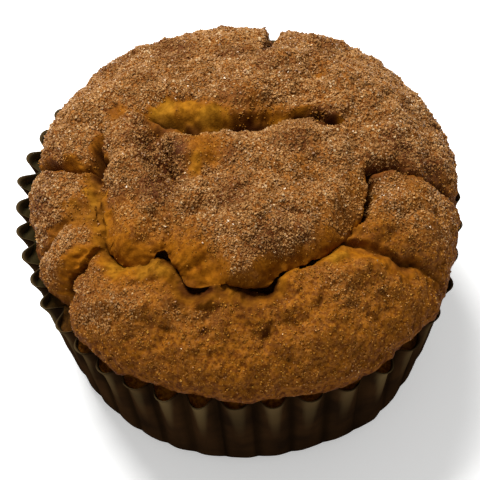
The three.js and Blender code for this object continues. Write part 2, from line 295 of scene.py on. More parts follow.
@dataclass(frozen=True)
class Pleats:
    """Where the pleats of the case stand, and the shape of their folds."""

    count: int = 42
    start: float = degrees(11.7)
    crowding: tuple[tuple[int, float, float], ...] = ((1, 4.51, degrees(40.4)), (2, 1.39, degrees(143.1)))
    softness: float = 0.16

    def phase(self, bearings: Array) -> Array:
        """Phase of the pleats at each bearing, in radians. A pleat's tip is at each whole turn."""
        crowded = sum(size * np.sin(waves * bearings + turn) for waves, size, turn in self.crowding)
        return self.count * bearings - crowded - self.start

    def bearings(self, per_pleat: int) -> Array:
        """Bearings of mesh columns evenly spread in pleat phase, from a pleat's tip on."""
        phases = np.arange(self.count * per_pleat) * 2.0 * math.pi / per_pleat
        bearings = phases / self.count
        for _ in range(12):
            bearings = bearings + (phases - self.phase(bearings)) / self.count
        return bearings

    def unevenness(self, bearings: Array) -> Array:
        """Small steady differences from pleat to pleat, between -1 and 1."""
        pleat = np.round(self.phase(bearings) / TURN)
        return 0.6 * np.sin(2.3 * pleat + 0.4) + 0.4 * np.sin(5.1 * pleat)

    def fold(self, bearings: Array, climb: Array | float) -> Array:
        """Shape of the folds: broad round tips between narrow creases, out of line lower down.

        Args:
            bearings: where round the case.
            climb: share of the wall's height, from 0 at the corner to 1 at the rim.

        Returns:
            A number from -1 in a valley to 1 on a pleat's tip.
        """
        phase = self.phase(bearings)
        drift = 0.8 * np.sin(1.7 * np.round(phase / TURN)) * (1.0 - climb)
        arch = np.cos(phase / 2.0 + 0.5 * drift * np.cos(phase / 2.0) ** 2)
        soft = self.softness
        wave = (np.sqrt(arch**2 + soft**2) - soft) / (math.hypot(1.0, soft) - soft)
        return 2.0 * wave ** (0.85 + 0.25 * self.unevenness(bearings)) - 1.0


@dataclass(frozen=True)
class CaseForm:
    """Form of the case: a flat disc, a rounded corner and a pleated wall that leans out to the rim."""

    base_radius: float = 26.5
    corner_round: float = 4.7
    corner_sweep: float = degrees(78)
    rim_radius: float = 34.35
    rim_height: float = 28.0
    wall_bulge: float = 0.1
    rim_shift: float = -1.0
    pleat_depth: float = 0.95
    pleat_depth_at_corner: float = 0.15
    rim_flare: float = 0.75
    rim_flare_from: float = 0.82
    rim_unevenness: float = 0.22
    rim_dips: tuple[Swell, ...] = (Swell(degrees(82), degrees(9), 3.2),)
    corner_push: tuple[Swell, ...] = (
        Swell(degrees(-50), degrees(12), 0.8),
        Swell(degrees(-120), degrees(25), 0.5),
    )
    out_of_round: tuple[tuple[int, float, float], ...] = (
        (2, 0.16, degrees(-47)),
        (3, 0.19, degrees(-49.5)),
        (4, 0.22, degrees(-40)),
        (5, 0.36, degrees(27.5)),
    )
    pleats: Pleats = Pleats()

    @property
    def corner_top_radius(self) -> float:
        """Radius where the corner turns into the wall."""
        return self.base_radius + self.corner_round * math.sin(self.corner_sweep)

    @property
    def corner_top_height(self) -> float:
        """Height where the corner turns into the wall."""
        return self.corner_round * (1.0 - math.cos(self.corner_sweep))

    def wall(self, bearings: Array, climb: Array | float, inset: Array | float) -> Array:
        """Points of the pleated wall.

        Args:
            bearings: where round the case.
            climb: share of the wall's height, from 0 at the corner to 1 at the rim.
            inset: how far in from the outer face.

        Returns:
            One point for each bearing.
        """
        climb = np.broadcast_to(np.asarray(climb, dtype=float), bearings.shape)
        capped = np.minimum(climb, 1.0)
        fold = self.pleats.fold(bearings, capped)
        uneven = self.pleats.unevenness(bearings)
        depth = self.pleat_depth_at_corner + (self.pleat_depth - self.pleat_depth_at_corner) * climb
        bent = np.clip((climb - self.rim_flare_from) / (1.0 - self.rim_flare_from), 0.0, 1.0) ** 1.6
        round_error = sum(size * np.cos(lobes * (bearings - at)) for lobes, size, at in self.out_of_round)
        radius = (
            self.corner_top_radius
            + (self.rim_radius - self.corner_top_radius) * climb
            + self.wall_bulge * np.sin(math.pi * capped)
            + round_error * climb
            + Swell.total(self.corner_push, bearings) * np.clip(1.0 - climb, 0.0, 1.0) ** 3
            + depth * (1.0 + 0.3 * uneven) * fold
            + self.rim_flare * bent * smooth_step(fold, -0.6, 0.8)
            - inset
        )
        height = self.corner_top_height + (self.rim_height - self.corner_top_height) * climb
        dip = Swell.total(self.rim_dips, bearings)
        height = height + (self.rim_unevenness * uneven - dip) * smooth_step(climb, 0.5, 1.0)
        points = plan_points(radius, bearings, height)
        points[:, 0] += self.rim_shift * climb
        return points

    def corner(self, bearings: Array, share: float, inset: float) -> Array:
        """Points of the rounded corner under the wall.

        Args:
            bearings: where round the case.
            share: from 0 at the flat base to 1 at the wall.
            inset: how far in from the outer face.

        Returns:
            One point for each bearing.
        """
        sweep = self.corner_sweep * share
        uneven = self.pleats.unevenness(bearings)
        pleat = self.pleat_depth_at_corner * share * (1.0 + 0.2 * uneven) * self.pleats.fold(bearings, 0.0)
        out = (self.corner_round - inset) * math.sin(sweep)
        radius = self.base_radius + out + pleat + Swell.total(self.corner_push, bearings) * math.sin(sweep)
        height = self.corner_round - (self.corner_round - inset) * math.cos(sweep)
        return plan_points(radius, bearings, height)


@dataclass(frozen=True)
class Crack:
    """A crack in the crown.

    The path lists places on its floor in plan from the middle of the crown: x, y, depth, the width of the
    gentle wall, how far from the floor the crust on the steep side is bare of sugar, and the width of the
    slot along the floor. Walking along it, the steep wall is on the left and the gentle one on the right.
    The roll is how far the crust above the steep wall rounds down to its brink, the shoulder is the same on
    the gentle side, and the overhang is how far the brink leans out over the floor. The bowl is the share
    of the depth that the gentle wall takes, and the slot takes the rest. The gentle wall is bare over a
    share of its width. Fresh is the share of yellow crumb on the floor itself, spice_and_shade that of dark,
    damp cinnamon with painted shade near the floor and walls, and dust that of sugar that has fallen in.
    """

    path: tuple[tuple[float, float, float, float, float, float], ...]
    steep: float = 0.7
    roll: float = 0.3
    roll_width: float = 2.0
    shoulder: float = 0.5
    shoulder_width: float = 3.0
    overhang: float = 0.0
    bowl: float = 1.0
    bare_gentle: float = 0.6
    fresh: float = 0.0
    spice_and_shade: float = 0.0
    dust: float = 0.0

    def smooth_path(self, steps: int = 6) -> Array:
        """The path as a smooth line of points with the same six numbers, with so many steps a place."""
        ends = np.array(self.path)
        knots = np.concatenate([(2.0 * ends[0] - ends[1])[None], ends, (2.0 * ends[-1] - ends[-2])[None]])
        line = []
        for p0, p1, p2, p3 in zip(knots, knots[1:], knots[2:], knots[3:]):
            for share in np.arange(steps) / steps:
                square = (2.0 * p0 - 5.0 * p1 + 4.0 * p2 - p3) * share**2
                cube = (3.0 * p1 - p0 - 3.0 * p2 + p3) * share**3
                line.append(0.5 * (2.0 * p1 + (p2 - p0) * share + square + cube))
        return np.array([*line, ends[-1]])


CRACKS = (
    # Front crevice under the middle island.
    Crack(
        (
            (-23.6, -8.6, 1.4, 2.0, 1.0, 0.8), (-22.9, -11.6, 3.4, 2.2, 2.0, 0.8),
            (-20.7, -14.2, 6.0, 3.4, 4.0, 1.0), (-18.4, -16.4, 3.6, 3.6, 6.5, 0.5),
            (-15.6, -16.4, 3.2, 4.0, 4.5, 0.5), (-14.2, -15.0, 5.2, 4.6, 3.0, 1.2),
            (-13.0, -14.6, 6.4, 4.8, 2.6, 1.8), (-11.8, -15.8, 5.4, 4.8, 4.0, 1.0),
            (-9.6, -19.2, 5.4, 4.0, 7.0, 0.8), (-7.6, -21.4, 5.0, 4.2, 6.4, 0.8),
            (-5.2, -20.7, 4.2, 4.4, 5.4, 0.6), (-3.0, -20.3, 4.2, 4.6, 3.4, 0.6),
            (0.4, -21.0, 4.8, 4.4, 2.6, 0.8), (3.6, -21.2, 6.2, 3.4, 3.0, 1.3),
            (4.8, -18.8, 6.0, 2.0, 3.4, 1.0), (8.6, -17.0, 6.2, 1.7, 3.2, 1.1),
            (12.0, -15.6, 5.6, 2.4, 3.6, 1.0), (14.8, -13.4, 4.6, 3.2, 3.2, 0.8),
            (16.8, -11.2, 2.0, 1.6, 1.4, 0.8),
        ),
        steep=1.4, roll=2.7, roll_width=5.4, shoulder=0.7, overhang=1.9, bowl=0.66, bare_gentle=0.9,
        fresh=0.35,
    ),
    # Upper crevice behind the middle island.
    Crack(
        (
            (15.6, 7.6, 3.0, 1.6, 0.6, 0.8), (12.8, 7.0, 7.4, 2.8, 0.9, 1.4),
            (9.8, 8.0, 5.4, 3.0, 0.8, 1.2), (6.8, 8.4, 3.4, 3.4, 0.6, 0.8),
            (3.8, 6.8, 5.4, 4.8, 0.8, 1.2), (0.8, 5.8, 7.4, 5.2, 1.0, 1.6),
            (-3.0, 5.8, 5.0, 5.0, 1.0, 1.2), (-5.6, 6.0, 4.0, 5.4, 0.8, 1.0),
            (-8.6, 5.8, 6.2, 7.0, 1.2, 1.4), (-12.0, 6.8, 5.8, 6.4, 1.2, 1.2),
            (-14.8, 8.4, 2.8, 4.2, 0.8, 1.0), (-17.0, 9.6, 0.8, 2.4, 0.4, 0.8),
        ),
        steep=1.2, roll=0.9, roll_width=2.6, shoulder=1.1, shoulder_width=4.0, overhang=0.8, bowl=0.72,
        bare_gentle=0.58, fresh=0.3,
    ),
    # Crack at the upper left of the island.
    Crack(
        (
            (-23.5, 6.6, 2.2, 1.2, 0.3, 0.9), (-23.9, 5.2, 5.6, 1.4, 0.3, 1.2),
            (-24.0, 3.2, 6.4, 1.5, 0.4, 1.3), (-24.1, 0.8, 6.0, 1.5, 0.4, 1.3),
            (-24.3, -1.6, 1.8, 1.5, 0.6, 1.1),
        ),
        shoulder=0.6, shoulder_width=2.6, overhang=-1.0, bowl=0.75, bare_gentle=0.9, spice_and_shade=0.3,
    ),
    # Valley between the island and the left lobes.
    Crack(
        (
            (-24.4, -0.6, 2.4, 4.2, 0.8, 1.0), (-23.9, -3.8, 3.0, 4.6, 1.2, 1.0),
            (-23.3, -7.2, 3.2, 4.4, 1.8, 1.0), (-22.9, -9.8, 3.4, 3.4, 2.6, 1.0),
            (-22.0, -12.6, 4.4, 2.4, 3.4, 1.0),
        ),
        steep=2.4, roll=1.6, roll_width=4.0, shoulder=1.6, shoulder_width=4.5, fresh=0.5, dust=1.0,
    ),
    # Trough across the island.
    Crack(
        (
            (-16.0, 6.6, 1.4, 3.0, 0.0, 1.0), (-14.2, 3.2, 4.8, 3.6, 0.0, 1.0),
            (-12.6, -0.4, 5.2, 4.0, 0.4, 1.0), (-11.2, -4.2, 2.4, 4.0, 0.3, 1.0),
            (-9.8, -8.0, 0.5, 3.4, 0.0, 1.0),
        ),
        steep=2.6, roll=0.4, roll_width=3.0, bare_gentle=0.0, spice_and_shade=0.6,
    ),
    # Crack across the left lobes.
    Crack(
        (
            (-24.0, 1.4, 3.8, 2.6, 0.8, 1.2), (-26.6, 1.7, 4.2, 2.6, 0.6, 1.2),
            (-29.1, 2.6, 4.0, 2.6, 0.5, 1.2), (-31.6, 4.0, 3.6, 2.4, 0.5, 1.2),
            (-34.0, 5.2, 3.2, 2.0, 0.5, 1.0),
        ),
        shoulder=0.4, shoulder_width=2.5, overhang=0.3, bowl=0.8, bare_gentle=0.95, fresh=0.15,
        spice_and_shade=0.15,
    ),
    # Crack between the left and front lobes.
    Crack(
        (
            (-30.8, -22.6, 1.2, 1.0, 1.0, 0.8), (-29.2, -19.0, 3.4, 1.2, 1.8, 0.9),
            (-27.2, -15.8, 4.0, 1.6, 2.4, 0.9), (-24.8, -13.4, 2.8, 2.4, 2.6, 0.9),
            (-22.4, -12.6, 3.0, 2.4, 2.6, 0.9),
        ),
        steep=1.1, roll=1.6, roll_width=4.0, shoulder=1.2, shoulder_width=3.5, overhang=0.4,
        bare_gentle=0.5, fresh=0.2,
    ),
    # Fold between the two left lobes.
    Crack(
        (
            (-32.8, -10.2, 1.2, 1.2, 0.8, 0.9), (-30.0, -8.2, 1.8, 1.4, 0.8, 0.9),
            (-27.4, -5.6, 1.0, 1.6, 0.8, 0.9),
        ),
        steep=1.0, roll=0.8, roll_width=2.8, shoulder_width=2.2, spice_and_shade=0.4,
    ),
    # Crack from the island to the right edge.
    Crack(
        (
            (34.4, -0.6, 3.0, 1.4, 0.4, 1.0), (31.6, -0.1, 4.4, 1.8, 0.4, 1.1),
            (28.6, 0.1, 2.6, 1.2, 0.4, 0.9), (25.4, -0.2, 2.2, 1.1, 0.3, 0.9),
            (23.2, -0.1, 3.2, 1.4, 0.4, 1.0), (20.4, -0.9, 4.2, 1.5, 0.4, 1.0),
        ),
        roll=0.8, roll_width=2.2, shoulder=0.9, shoulder_width=2.4, overhang=0.5, bare_gentle=0.45,
        spice_and_shade=0.6,
    ),
    # Crack between the island and the right lobe.
    Crack(
        (
            (17.2, -10.2, 1.8, 0.9, 1.0, 0.8), (18.4, -8.4, 4.6, 1.3, 0.9, 0.9),
            (19.7, -6.0, 5.2, 1.6, 0.7, 1.1), (20.3, -3.6, 5.2, 1.6, 0.6, 1.1),
            (20.4, -1.2, 5.0, 1.4, 0.5, 1.0),
        ),
        steep=0.8, roll=1.2, roll_width=3.2, shoulder=1.0, overhang=0.1, bare_gentle=0.25, dust=0.5,
    ),
    # Crack between the right and front lobes.
    Crack(
        (
            (31.0, -15.8, 1.0, 1.0, 1.0, 0.8), (27.4, -14.8, 2.2, 1.1, 1.8, 0.8),
            (24.4, -15.4, 3.0, 1.3, 3.0, 0.8), (22.4, -14.6, 2.2, 1.4, 3.4, 0.8),
            (18.8, -13.8, 2.6, 1.8, 3.2, 0.8), (15.4, -13.4, 3.0, 2.2, 2.6, 0.8),
        ),
        steep=1.0, roll=2.0, roll_width=4.6, shoulder=0.7, shoulder_width=2.5, overhang=0.4,
        bare_gentle=0.7, fresh=0.1, spice_and_shade=0.3,
    ),
    # Notch in the back edge.
    Crack(
        (
            (3.4, 23.0, 0.8, 0.9, 0.4, 0.8), (4.0, 26.0, 3.6, 1.3, 0.4, 1.0),
            (4.6, 29.2, 7.0, 1.7, 0.4, 1.4), (5.0, 34.0, 7.0, 1.7, 0.4, 1.4),
        ),
        steep=1.3, shoulder=0.3, shoulder_width=2.0, bare_gentle=0.4,
    ),
)


@dataclass(frozen=True)
class Spot:
    """A round spot of the crown in plan, and how much of something there is in its middle."""

    x: float
    y: float
    radius: float
    amount: float


@dataclass(frozen=True)
class SugarDrift:
    """An oval part of the crown where the cinnamon sugar lies thick, or thin where its share is below 0."""

    x: float
    y: float
    half_width: float
    half_depth: float
    share: float


# Spots where the crown swells, by a height in millimetres, or is dented where it is below 0.
SWELLINGS = (
    (-18.9, 0.2, 3.6, 1.7), (-7.4, -5.4, 5.0, 0.6), (1.7, -1.5, 6.0, 0.5), (-7.0, 0.8, 2.4, 1.3),
    (-0.6, -13.8, 6.0, 2.3), (9.5, -9.0, 5.0, 0.8), (13.4, 1.5, 5.0, 0.9), (-17.6, -12.6, 3.2, 1.0),
    (-13.2, -10.6, 2.2, -0.6), (-0.6, -17.6, 1.8, 0.9), (3.4, -18.4, 1.8, -0.9),
    (-10.0, -15.5, 3.0, 0.8), (25.9, -7.1, 6.0, 0.9), (19.8, -17.5, 2.4, 1.4), (19.6, -17.9, 0.8, -0.9),
    (-20.7, -19.9, 4.0, 1.4), (-19.4, -16.6, 1.2, -0.8), (-24.5, 12.6, 4.5, 0.8),
    (-15.0, 16.6, 4.5, 0.8), (-19.5, 9.6, 2.4, -0.8), (-9.0, 21.5, 4.5, -0.9), (-5.2, 9.2, 1.7, 1.3),
    (11.6, 18.6, 1.6, -2.8), (-1.4, -29.2, 8.0, 0.5), (-12.1, -26.7, 1.0, -0.9),
    (-6.0, -27.8, 1.2, -0.8), (3.6, -28.8, 1.2, -0.9), (-17.9, -27.4, 1.1, -0.8), (8.0, -23.4, 2.0, 0.6),
    (14.7, -25.0, 6.0, 0.6), (-29.8, -2.4, 3.6, 1.2), (-27.2, -10.6, 2.2, 0.8), (-29.6, -13.5, 3.0, 0.9),
    (20.0, 14.0, 7.0, 0.8), (3.0, 19.5, 4.5, 0.8),
)
# Spots where bare crust or fresh yellow crumb shows through the sugar, spots of dark cinnamon that are
# partly painted shade, and spots of browned crust that are mostly painted shade in crack floors and pits.
CRUST_SPOTS = {
    "bare": (
        (-7.5, -1.6, 1.8, 0.5), (-20.2, 11.0, 1.6, 0.4), (11.8, 17.6, 1.4, 0.4), (-5.4, 1.4, 3.6, 0.32),
        (-26.6, -5.6, 2.8, 0.35), (-12.6, 8.6, 3.8, 1.0), (-8.6, 8.8, 3.8, 1.0), (-4.8, 8.6, 2.6, 0.9),
    ),
    "fresh": (
        (-7.7, -1.7, 2.0, 0.7), (-13.2, 10.0, 3.4, 1.0), (-5.2, 9.4, 3.2, 1.0), (-9.4, 10.0, 4.6, 0.6),
        (-26.8, -3.6, 4.0, 0.9), (-26.6, -9.0, 3.0, 0.7), (-20.0, -16.2, 2.2, 1.0),
        (-14.2, -18.0, 3.4, 0.9), (14.4, -17.2, 2.2, 1.0), (0.6, -24.0, 4.0, 0.3),
    ),
    # Dark cinnamon, partly painted shade in the trough, the hole behind the island, the notch and the right
    # crack.
    "spice_and_shade": (
        (-14.0, 2.8, 4.2, 0.5), (-12.4, -1.0, 4.2, 0.55), (-2.0, -7.0, 3.4, 0.5), (12.4, 8.2, 2.6, 0.7),
        (4.0, 23.0, 2.6, 0.7), (-12.0, 23.5, 4.0, 0.6), (23.5, 4.5, 3.0, 0.6), (29.5, 2.6, 3.0, 0.7),
        (-30.5, 5.6, 2.6, 0.5), (-33.0, -2.0, 2.4, 0.5),
    ),
    # Mostly painted shade: these darken crack floors, the bowl behind the island, the trough, the left slot
    # and the front lobe's pits.
    "brown_and_shade": (
        (-9.6, -21.6, 3.4, 0.45), (-5.0, -23.4, 3.6, 0.55), (0.4, -23.6, 3.6, 0.55),
        (4.6, -22.6, 2.6, 0.45), (-14.0, -17.6, 3.4, 0.2), (1.0, 7.4, 3.4, 0.45), (12.2, 7.4, 3.0, 0.85),
        (8.0, 8.4, 2.4, 0.4), (-13.0, 8.2, 2.0, 0.35), (-8.4, 6.6, 2.2, 0.4), (-13.0, 0.6, 3.6, 0.4),
        (-3.6, -8.6, 3.0, 0.25), (20.0, 2.4, 3.0, 0.3), (-23.2, 4.6, 1.6, 0.6), (-23.4, 2.2, 1.6, 0.6),
        (-23.7, 0.0, 1.4, 0.5), (-14.6, -26.4, 1.3, 0.6), (-6.0, -27.6, 1.1, 0.7),
        (3.2, -27.6, 1.1, 0.7), (4.4, -29.4, 1.0, 0.5),
    ),
}
SUGAR_DRIFTS = (
    (-2.0, 26.0, 36.0, 19.0, 1.0), (-1.0, -3.0, 21.5, 10.2, 0.65), (2.5, -12.2, 8.0, 4.0, 0.6),
    (-32.0, -5.0, 4.5, 12.0, 0.8), (-28.5, 8.5, 8.0, 6.5, 0.8), (26.0, 9.0, 10.0, 8.0, 0.8),
    (26.5, -5.5, 8.0, 6.0, 0.35), (-27.0, -6.0, 3.6, 8.0, 0.45), (-18.0, 4.0, 7.0, 7.0, 0.6),
    (16.5, 5.5, 6.0, 5.0, 0.6), (-22.0, -19.5, 7.0, 5.5, 0.32), (-12.0, -24.0, 8.0, 4.0, 0.14),
    (17.0, -19.0, 6.0, 4.0, 0.25), (-1.2, -17.4, 4.0, 2.0, 0.5), (-6.6, 2.0, 2.6, 2.8, -0.35),
    (0.8, 11.4, 7.5, 4.0, -0.5), (-20.5, 9.0, 3.4, 2.6, -0.3), (-13.4, 1.6, 2.6, 3.6, -0.25),
)


@dataclass(frozen=True)
class CrownForm:
    """Form of the crown: a flat dome, moved by its cracks, swellings and crumb."""

    rim_height: float = 28.0
    centre_x: float = -0.5
    radius: float = 34.3
    rise: float = 14.5
    widest: float = 3.0
    turn_in: float = 1.1
    underside: float = 0.55
    flatness: float = 2.3
    shoulder: float = 0.6
    edge_swells: tuple[Swell, ...] = (
        Swell(degrees(-42), degrees(24), 1.3),
        Swell(degrees(-66), degrees(12), 0.4),
        Swell(degrees(38), degrees(28), 0.5),
        Swell(degrees(90), degrees(36), -1.2),
        Swell(degrees(152), degrees(20), 0.4),
        Swell(degrees(186), degrees(26), -0.9),
        Swell(degrees(236), degrees(18), 1.0),
    )
    waves: tuple[tuple[float, float, float], ...] = (
        (17.0, degrees(20), 0.16),
        (12.5, degrees(95), 0.14),
        (9.0, degrees(150), 0.10),
    )

    @property
    def centre(self) -> Array:
        """Middle of the crown at the height of the rim."""
        return np.array([self.centre_x, 0.0, self.rim_height])

    def edge(self, bearings: Array) -> Array:
        """Radius of the crown's widest line at each bearing."""
        return self.radius + Swell.total(self.edge_swells, bearings)

    def shares(self, angle: Array | float) -> tuple[Array, Array]:
        """Shares of the dome's radius and rise, from angle 0 at the top to a quarter turn at its edge."""
        out = np.sin(angle) ** (2.0 / self.flatness)
        return out, np.maximum(np.cos(angle), 0.0) ** (2.0 * self.shoulder)

    def angles(self, count: int) -> Array:
        """Angles evenly spaced along the dome's profile, from the widest line to just short of the top."""
        table = np.linspace(TURN / 4.0, 0.0, 2001)
        out, rise = self.shares(table)
        steps = np.hypot(np.diff(out * self.radius), np.diff(rise * self.rise))
        lengths = np.concatenate([[0.0], np.cumsum(steps)])
        return np.interp(lengths[-1] * np.arange(count) / count, lengths, table)

    def dome(self, bearings: Array, angle: float) -> tuple[Array, Array]:
        """A ring of the smooth dome, before its cracks.

        Args:
            bearings: where round the crown.
            angle: the ring's angle from the top.

        Returns:
            The ring's points and the directions that face out of them.
        """
        edge = self.edge(bearings)
        out, rise = self.shares(angle)
        left = max(1.0 - float(out) ** self.flatness, 1e-6)
        steepness = self.rise * self.shoulder * self.flatness / edge * float(out) ** (self.flatness - 1.0)
        lean = np.arctan(steepness * left ** (self.shoulder - 1.0))
        points = plan_points(edge * out, bearings, self.widest + self.rise * float(rise))
        return points, plan_points(np.sin(lean), bearings, np.cos(lean))

    def height_at(self, x: Array, y: Array) -> Array:
        """Height of the smooth dome over the rim at places in plan."""
        share = np.minimum(np.hypot(x, y) / self.edge(np.arctan2(y, x)), 1.0)
        return self.widest + self.rise * (1.0 - share**self.flatness) ** self.shoulder


@dataclass(frozen=True)
class Bumps:
    """Bumps of the crust: their height, size and number of layers, and where the noise starts."""

    height: float
    size: float
    layers: int
    start: float

    def at(self, noise: SolidNoise, points: Array) -> Array:
        """How far the bumps raise each place."""
        return self.height * noise.layers(points + self.start, self.size, self.layers)


@dataclass
class Relief:
    """How the crown's cracks and crumb move points of the smooth dome."""

    form: CrownForm
    noise: SolidNoise = field(default_factory=lambda: SolidNoise(11))
    wander: tuple[Bumps, Bumps] = (Bumps(0.6, 3.4, 3, 0.0), Bumps(0.6, 3.4, 3, 40.0))
    ragged: Bumps = Bumps(1.1, 3.0, 3, 21.0)
    hills: Bumps = Bumps(1.5, 8.5, 1, 60.0)
    pillow_height: float = 0.6
    pillow_size: float = 4.6
    lumps: Bumps = Bumps(0.62, 2.8, 2, 0.0)
    crumbs: Bumps = Bumps(0.24, 1.4, 2, 3.0)
    torn: Bumps = Bumps(0.34, 1.7, 3, 13.0)
    grit: Bumps = Bumps(0.14, 0.66, 1, 5.0)
    clods: Bumps = Bumps(0.18, 1.05, 2, 90.0)
    stirred: Bumps = Bumps(1.0, 7.0, 3, 50.0)
    patches: Bumps = Bumps(0.22, 5.0, 3, 70.0)
    pore_depth: float = 0.6
    crack_margin: float = 10.0
    full_depth: float = 3.0
    brink_width: float = 5.0
    thin_sugar: float = 0.36
    dust_cover: float = 0.55
    spice_in_sugar: float = 0.6
    deepest: float = 5.0

    def nearest(self, crack: Crack, points: Array) -> tuple[Array, Array, Array]:
        """The nearest place on a crack for each point.

        Args:
            crack: the crack.
            points: places on the dome.

        Returns:
            The distances, with a plus on the steep side, the crack's depth, gentle width, bare width and
            slot there, and the directions across it, which are blended along it, so that they turn softly.
        """
        line = crack.smooth_path()
        spots = np.column_stack([line[:, :2], self.form.height_at(line[:, 0], line[:, 1])])
        best = np.full(len(points), np.inf)
        signed = np.full(len(points), np.inf)
        found = np.zeros((len(points), 4))
        across = np.zeros((len(points), 3))
        total = np.zeros(len(points))
        for start in range(len(line) - 1):
            along = spots[start + 1] - spots[start]
            offset = points - spots[start]
            share = np.clip(offset @ along / (along @ along), 0.0, 1.0)
            away = np.linalg.norm(offset - share[:, None] * along, axis=1)
            closer = away < best
            side = np.where(along[0] * offset[:, 1] - along[1] * offset[:, 0] < 0.0, -1.0, 1.0)
            best = np.where(closer, away, best)
            signed = np.where(closer, side * away, signed)
            here = line[start, 2:] + share[:, None] * (line[start + 1, 2:] - line[start, 2:])
            found = np.where(closer[:, None], here, found)
            weight = 1.0 / (away**2 + 0.4) ** 2
            sideways = np.array([-along[1], along[0], 0.0]) / math.hypot(along[0], along[1])
            across += weight[:, None] * sideways
            total += weight
        return signed, found, across / total[:, None]

    def _cut(
        self, crack: Crack, points: Array, ragged: Array, moves: tuple[Array, Array], marks: Marks
    ) -> None:
        """Cuts one crack.

        Args:
            crack: the crack.
            points: places on the dome.
            ragged: how far the edge of the bare crust is frayed at each place.
            moves: the depths to the fourth power and the leans so far, which it adds to.
            marks: the marks so far, which it adds to.
        """
        path = np.array(crack.path)[:, :2]
        low = path.min(axis=0) - self.crack_margin
        high = path.max(axis=0) + self.crack_margin
        near = np.all((points[:, :2] > low) & (points[:, :2] < high), axis=1)
        if not near.any():
            return
        distance, found, across = self.nearest(crack, points[near])
        depth, gentle, bare_width, slot_width = found.T
        steep_side = distance > 0.0
        away = np.abs(distance)
        ragged = ragged[near]
        width = np.where(steep_side, crack.steep, gentle)
        slot = 1.0 - smooth_step(away / slot_width, 0.25, 1.0)
        bowl = 1.0 - smooth_step(away / width, 0.1, 1.0)
        wall = 1.0 - smooth_step(away / width, 0.0, 1.0)
        wall = np.where(steep_side, wall, crack.bowl * bowl + (1.0 - crack.bowl) * slot)
        strength = np.clip(depth / self.full_depth, 0.0, 1.0)
        fall = np.where(steep_side, crack.roll, crack.shoulder) * strength
        roll_width = np.where(steep_side, crack.roll_width, crack.shoulder_width)
        past = np.clip((away - width) / roll_width, 0.0, 1.0)
        drops, lean = moves
        drops[near] += (depth * wall) ** 4 + (fall * (1.0 - past) ** 2) ** 4
        brink = hump(away, crack.steep, crack.steep + self.brink_width) * strength * steep_side
        lean[near] -= crack.overhang * brink[:, None] * across
        edge = np.where(steep_side, bare_width, crack.bare_gentle * gentle) + 0.01
        frayed = np.maximum(away + ragged, 0.0)
        floor = 1.0 - smooth_step((away + 0.6 * ragged) / gentle, 0.4, 1.1)
        floor = np.where(steep_side, 1.0 - smooth_step(away / crack.steep, 0.3, 1.0), floor)
        # Dark cinnamon near the crack's floor and walls, partly painted shade in the crack.
        damp = 1.0 - smooth_step((away + ragged) / np.maximum(width, 1.4), 0.6, 1.5)
        shares = {
            "bare": (1.0 - smooth_step(frayed / edge, 0.4, 1.25)) * smooth_step(edge, 0.1, 0.35),
            "fresh": floor * crack.fresh,
            "dust": floor * crack.dust,
            "spice_and_shade": damp * crack.spice_and_shade,
        }
        for name, share in shares.items():
            marks[name][near] = np.maximum(marks[name][near], strength * share)

    def carve(self, points: Array, outward: Array) -> tuple[Array, Marks]:
        """Moves points of the smooth dome to the cracked surface.

        Args:
            points: places on the dome, from the middle of the crown at the rim.
            outward: directions that face out of the dome.

        Returns:
            The moved places, and the marks that the finish and the sugar read.
        """
        noise = self.noise
        x, y, height = points.T
        marks = {name: np.zeros(len(points)) for name in ("bare", "fresh", "spice_and_shade", "dust", "brown_and_shade")}
        drops = np.zeros(len(points))
        lean = np.zeros((len(points), 3))
        wandered = points.copy()
        for axis, bumps in enumerate(self.wander):
            wandered[:, axis] += bumps.at(noise, points)
        ragged = self.ragged.at(noise, points)
        for crack in CRACKS:
            self._cut(crack, wandered, ragged, (drops, lean), marks)
        for name, spots in CRUST_SPOTS.items():
            for spot in itertools.starmap(Spot, spots):
                off = np.hypot(x - spot.x, y - spot.y) + ragged
                share = spot.amount * (1.0 - smooth_step(off / spot.radius, 0.4, 1.2))
                marks[name] = np.maximum(marks[name], share)
        bare = marks["bare"]
        sugar = np.maximum(self.sugar(points, bare), self.dust_cover * marks["dust"])
        hollow = drops**0.25
        raised = np.zeros(len(points))
        for swelling in itertools.starmap(Spot, SWELLINGS):
            off = (x - swelling.x) ** 2 + (y - swelling.y) ** 2
            raised += swelling.amount * np.exp(-off / swelling.radius**2)
        for length, bearing, swell in self.form.waves:
            along = x * math.cos(bearing) + y * math.sin(bearing)
            raised += swell * np.sin(TURN * along / length)
        lean -= np.einsum("ij,ij->i", lean, outward)[:, None] * outward
        inner = smooth_step(height, 5.0, 15.0)
        raised += self.hills.at(noise, points) * (0.2 + 0.8 * inner)
        raised += self.pillow_height * noise.pillows(points + 33.0, self.pillow_size) * (0.2 + 0.8 * inner)
        raised += self.lumps.at(noise, points) * (0.7 + 0.3 * inner)
        raised += self.crumbs.at(noise, points)
        raised += self.torn.at(noise, points) * bare
        raised += self.grit.at(noise, points)
        raised += self.clods.at(noise, points) * sugar
        pores = noise.pores(points, 3.1, 0.75, 0.2) + 0.6 * noise.pores(points + 9.0, 1.7, 0.45, 0.25)
        pits = self.pore_depth * pores * (1.0 - 0.6 * sugar)
        moved = points + outward * (raised - pits - hollow)[:, None] + lean
        stirred = smooth_step(self.stirred.at(noise, points), 0.1, 0.8)
        marks["fresh"] *= smooth_step(bare, 0.1, 0.7)
        spiced = self.spice_in_sugar * stirred * smooth_step(sugar, 0.2, 0.9)
        marks["spice_and_shade"] = np.clip(marks["spice_and_shade"] + spiced, 0.0, 1.0)
        marks.update(sugar=sugar, hollow=np.clip(hollow / self.deepest, 0.0, 1.0), pore=pores)
        return moved, marks

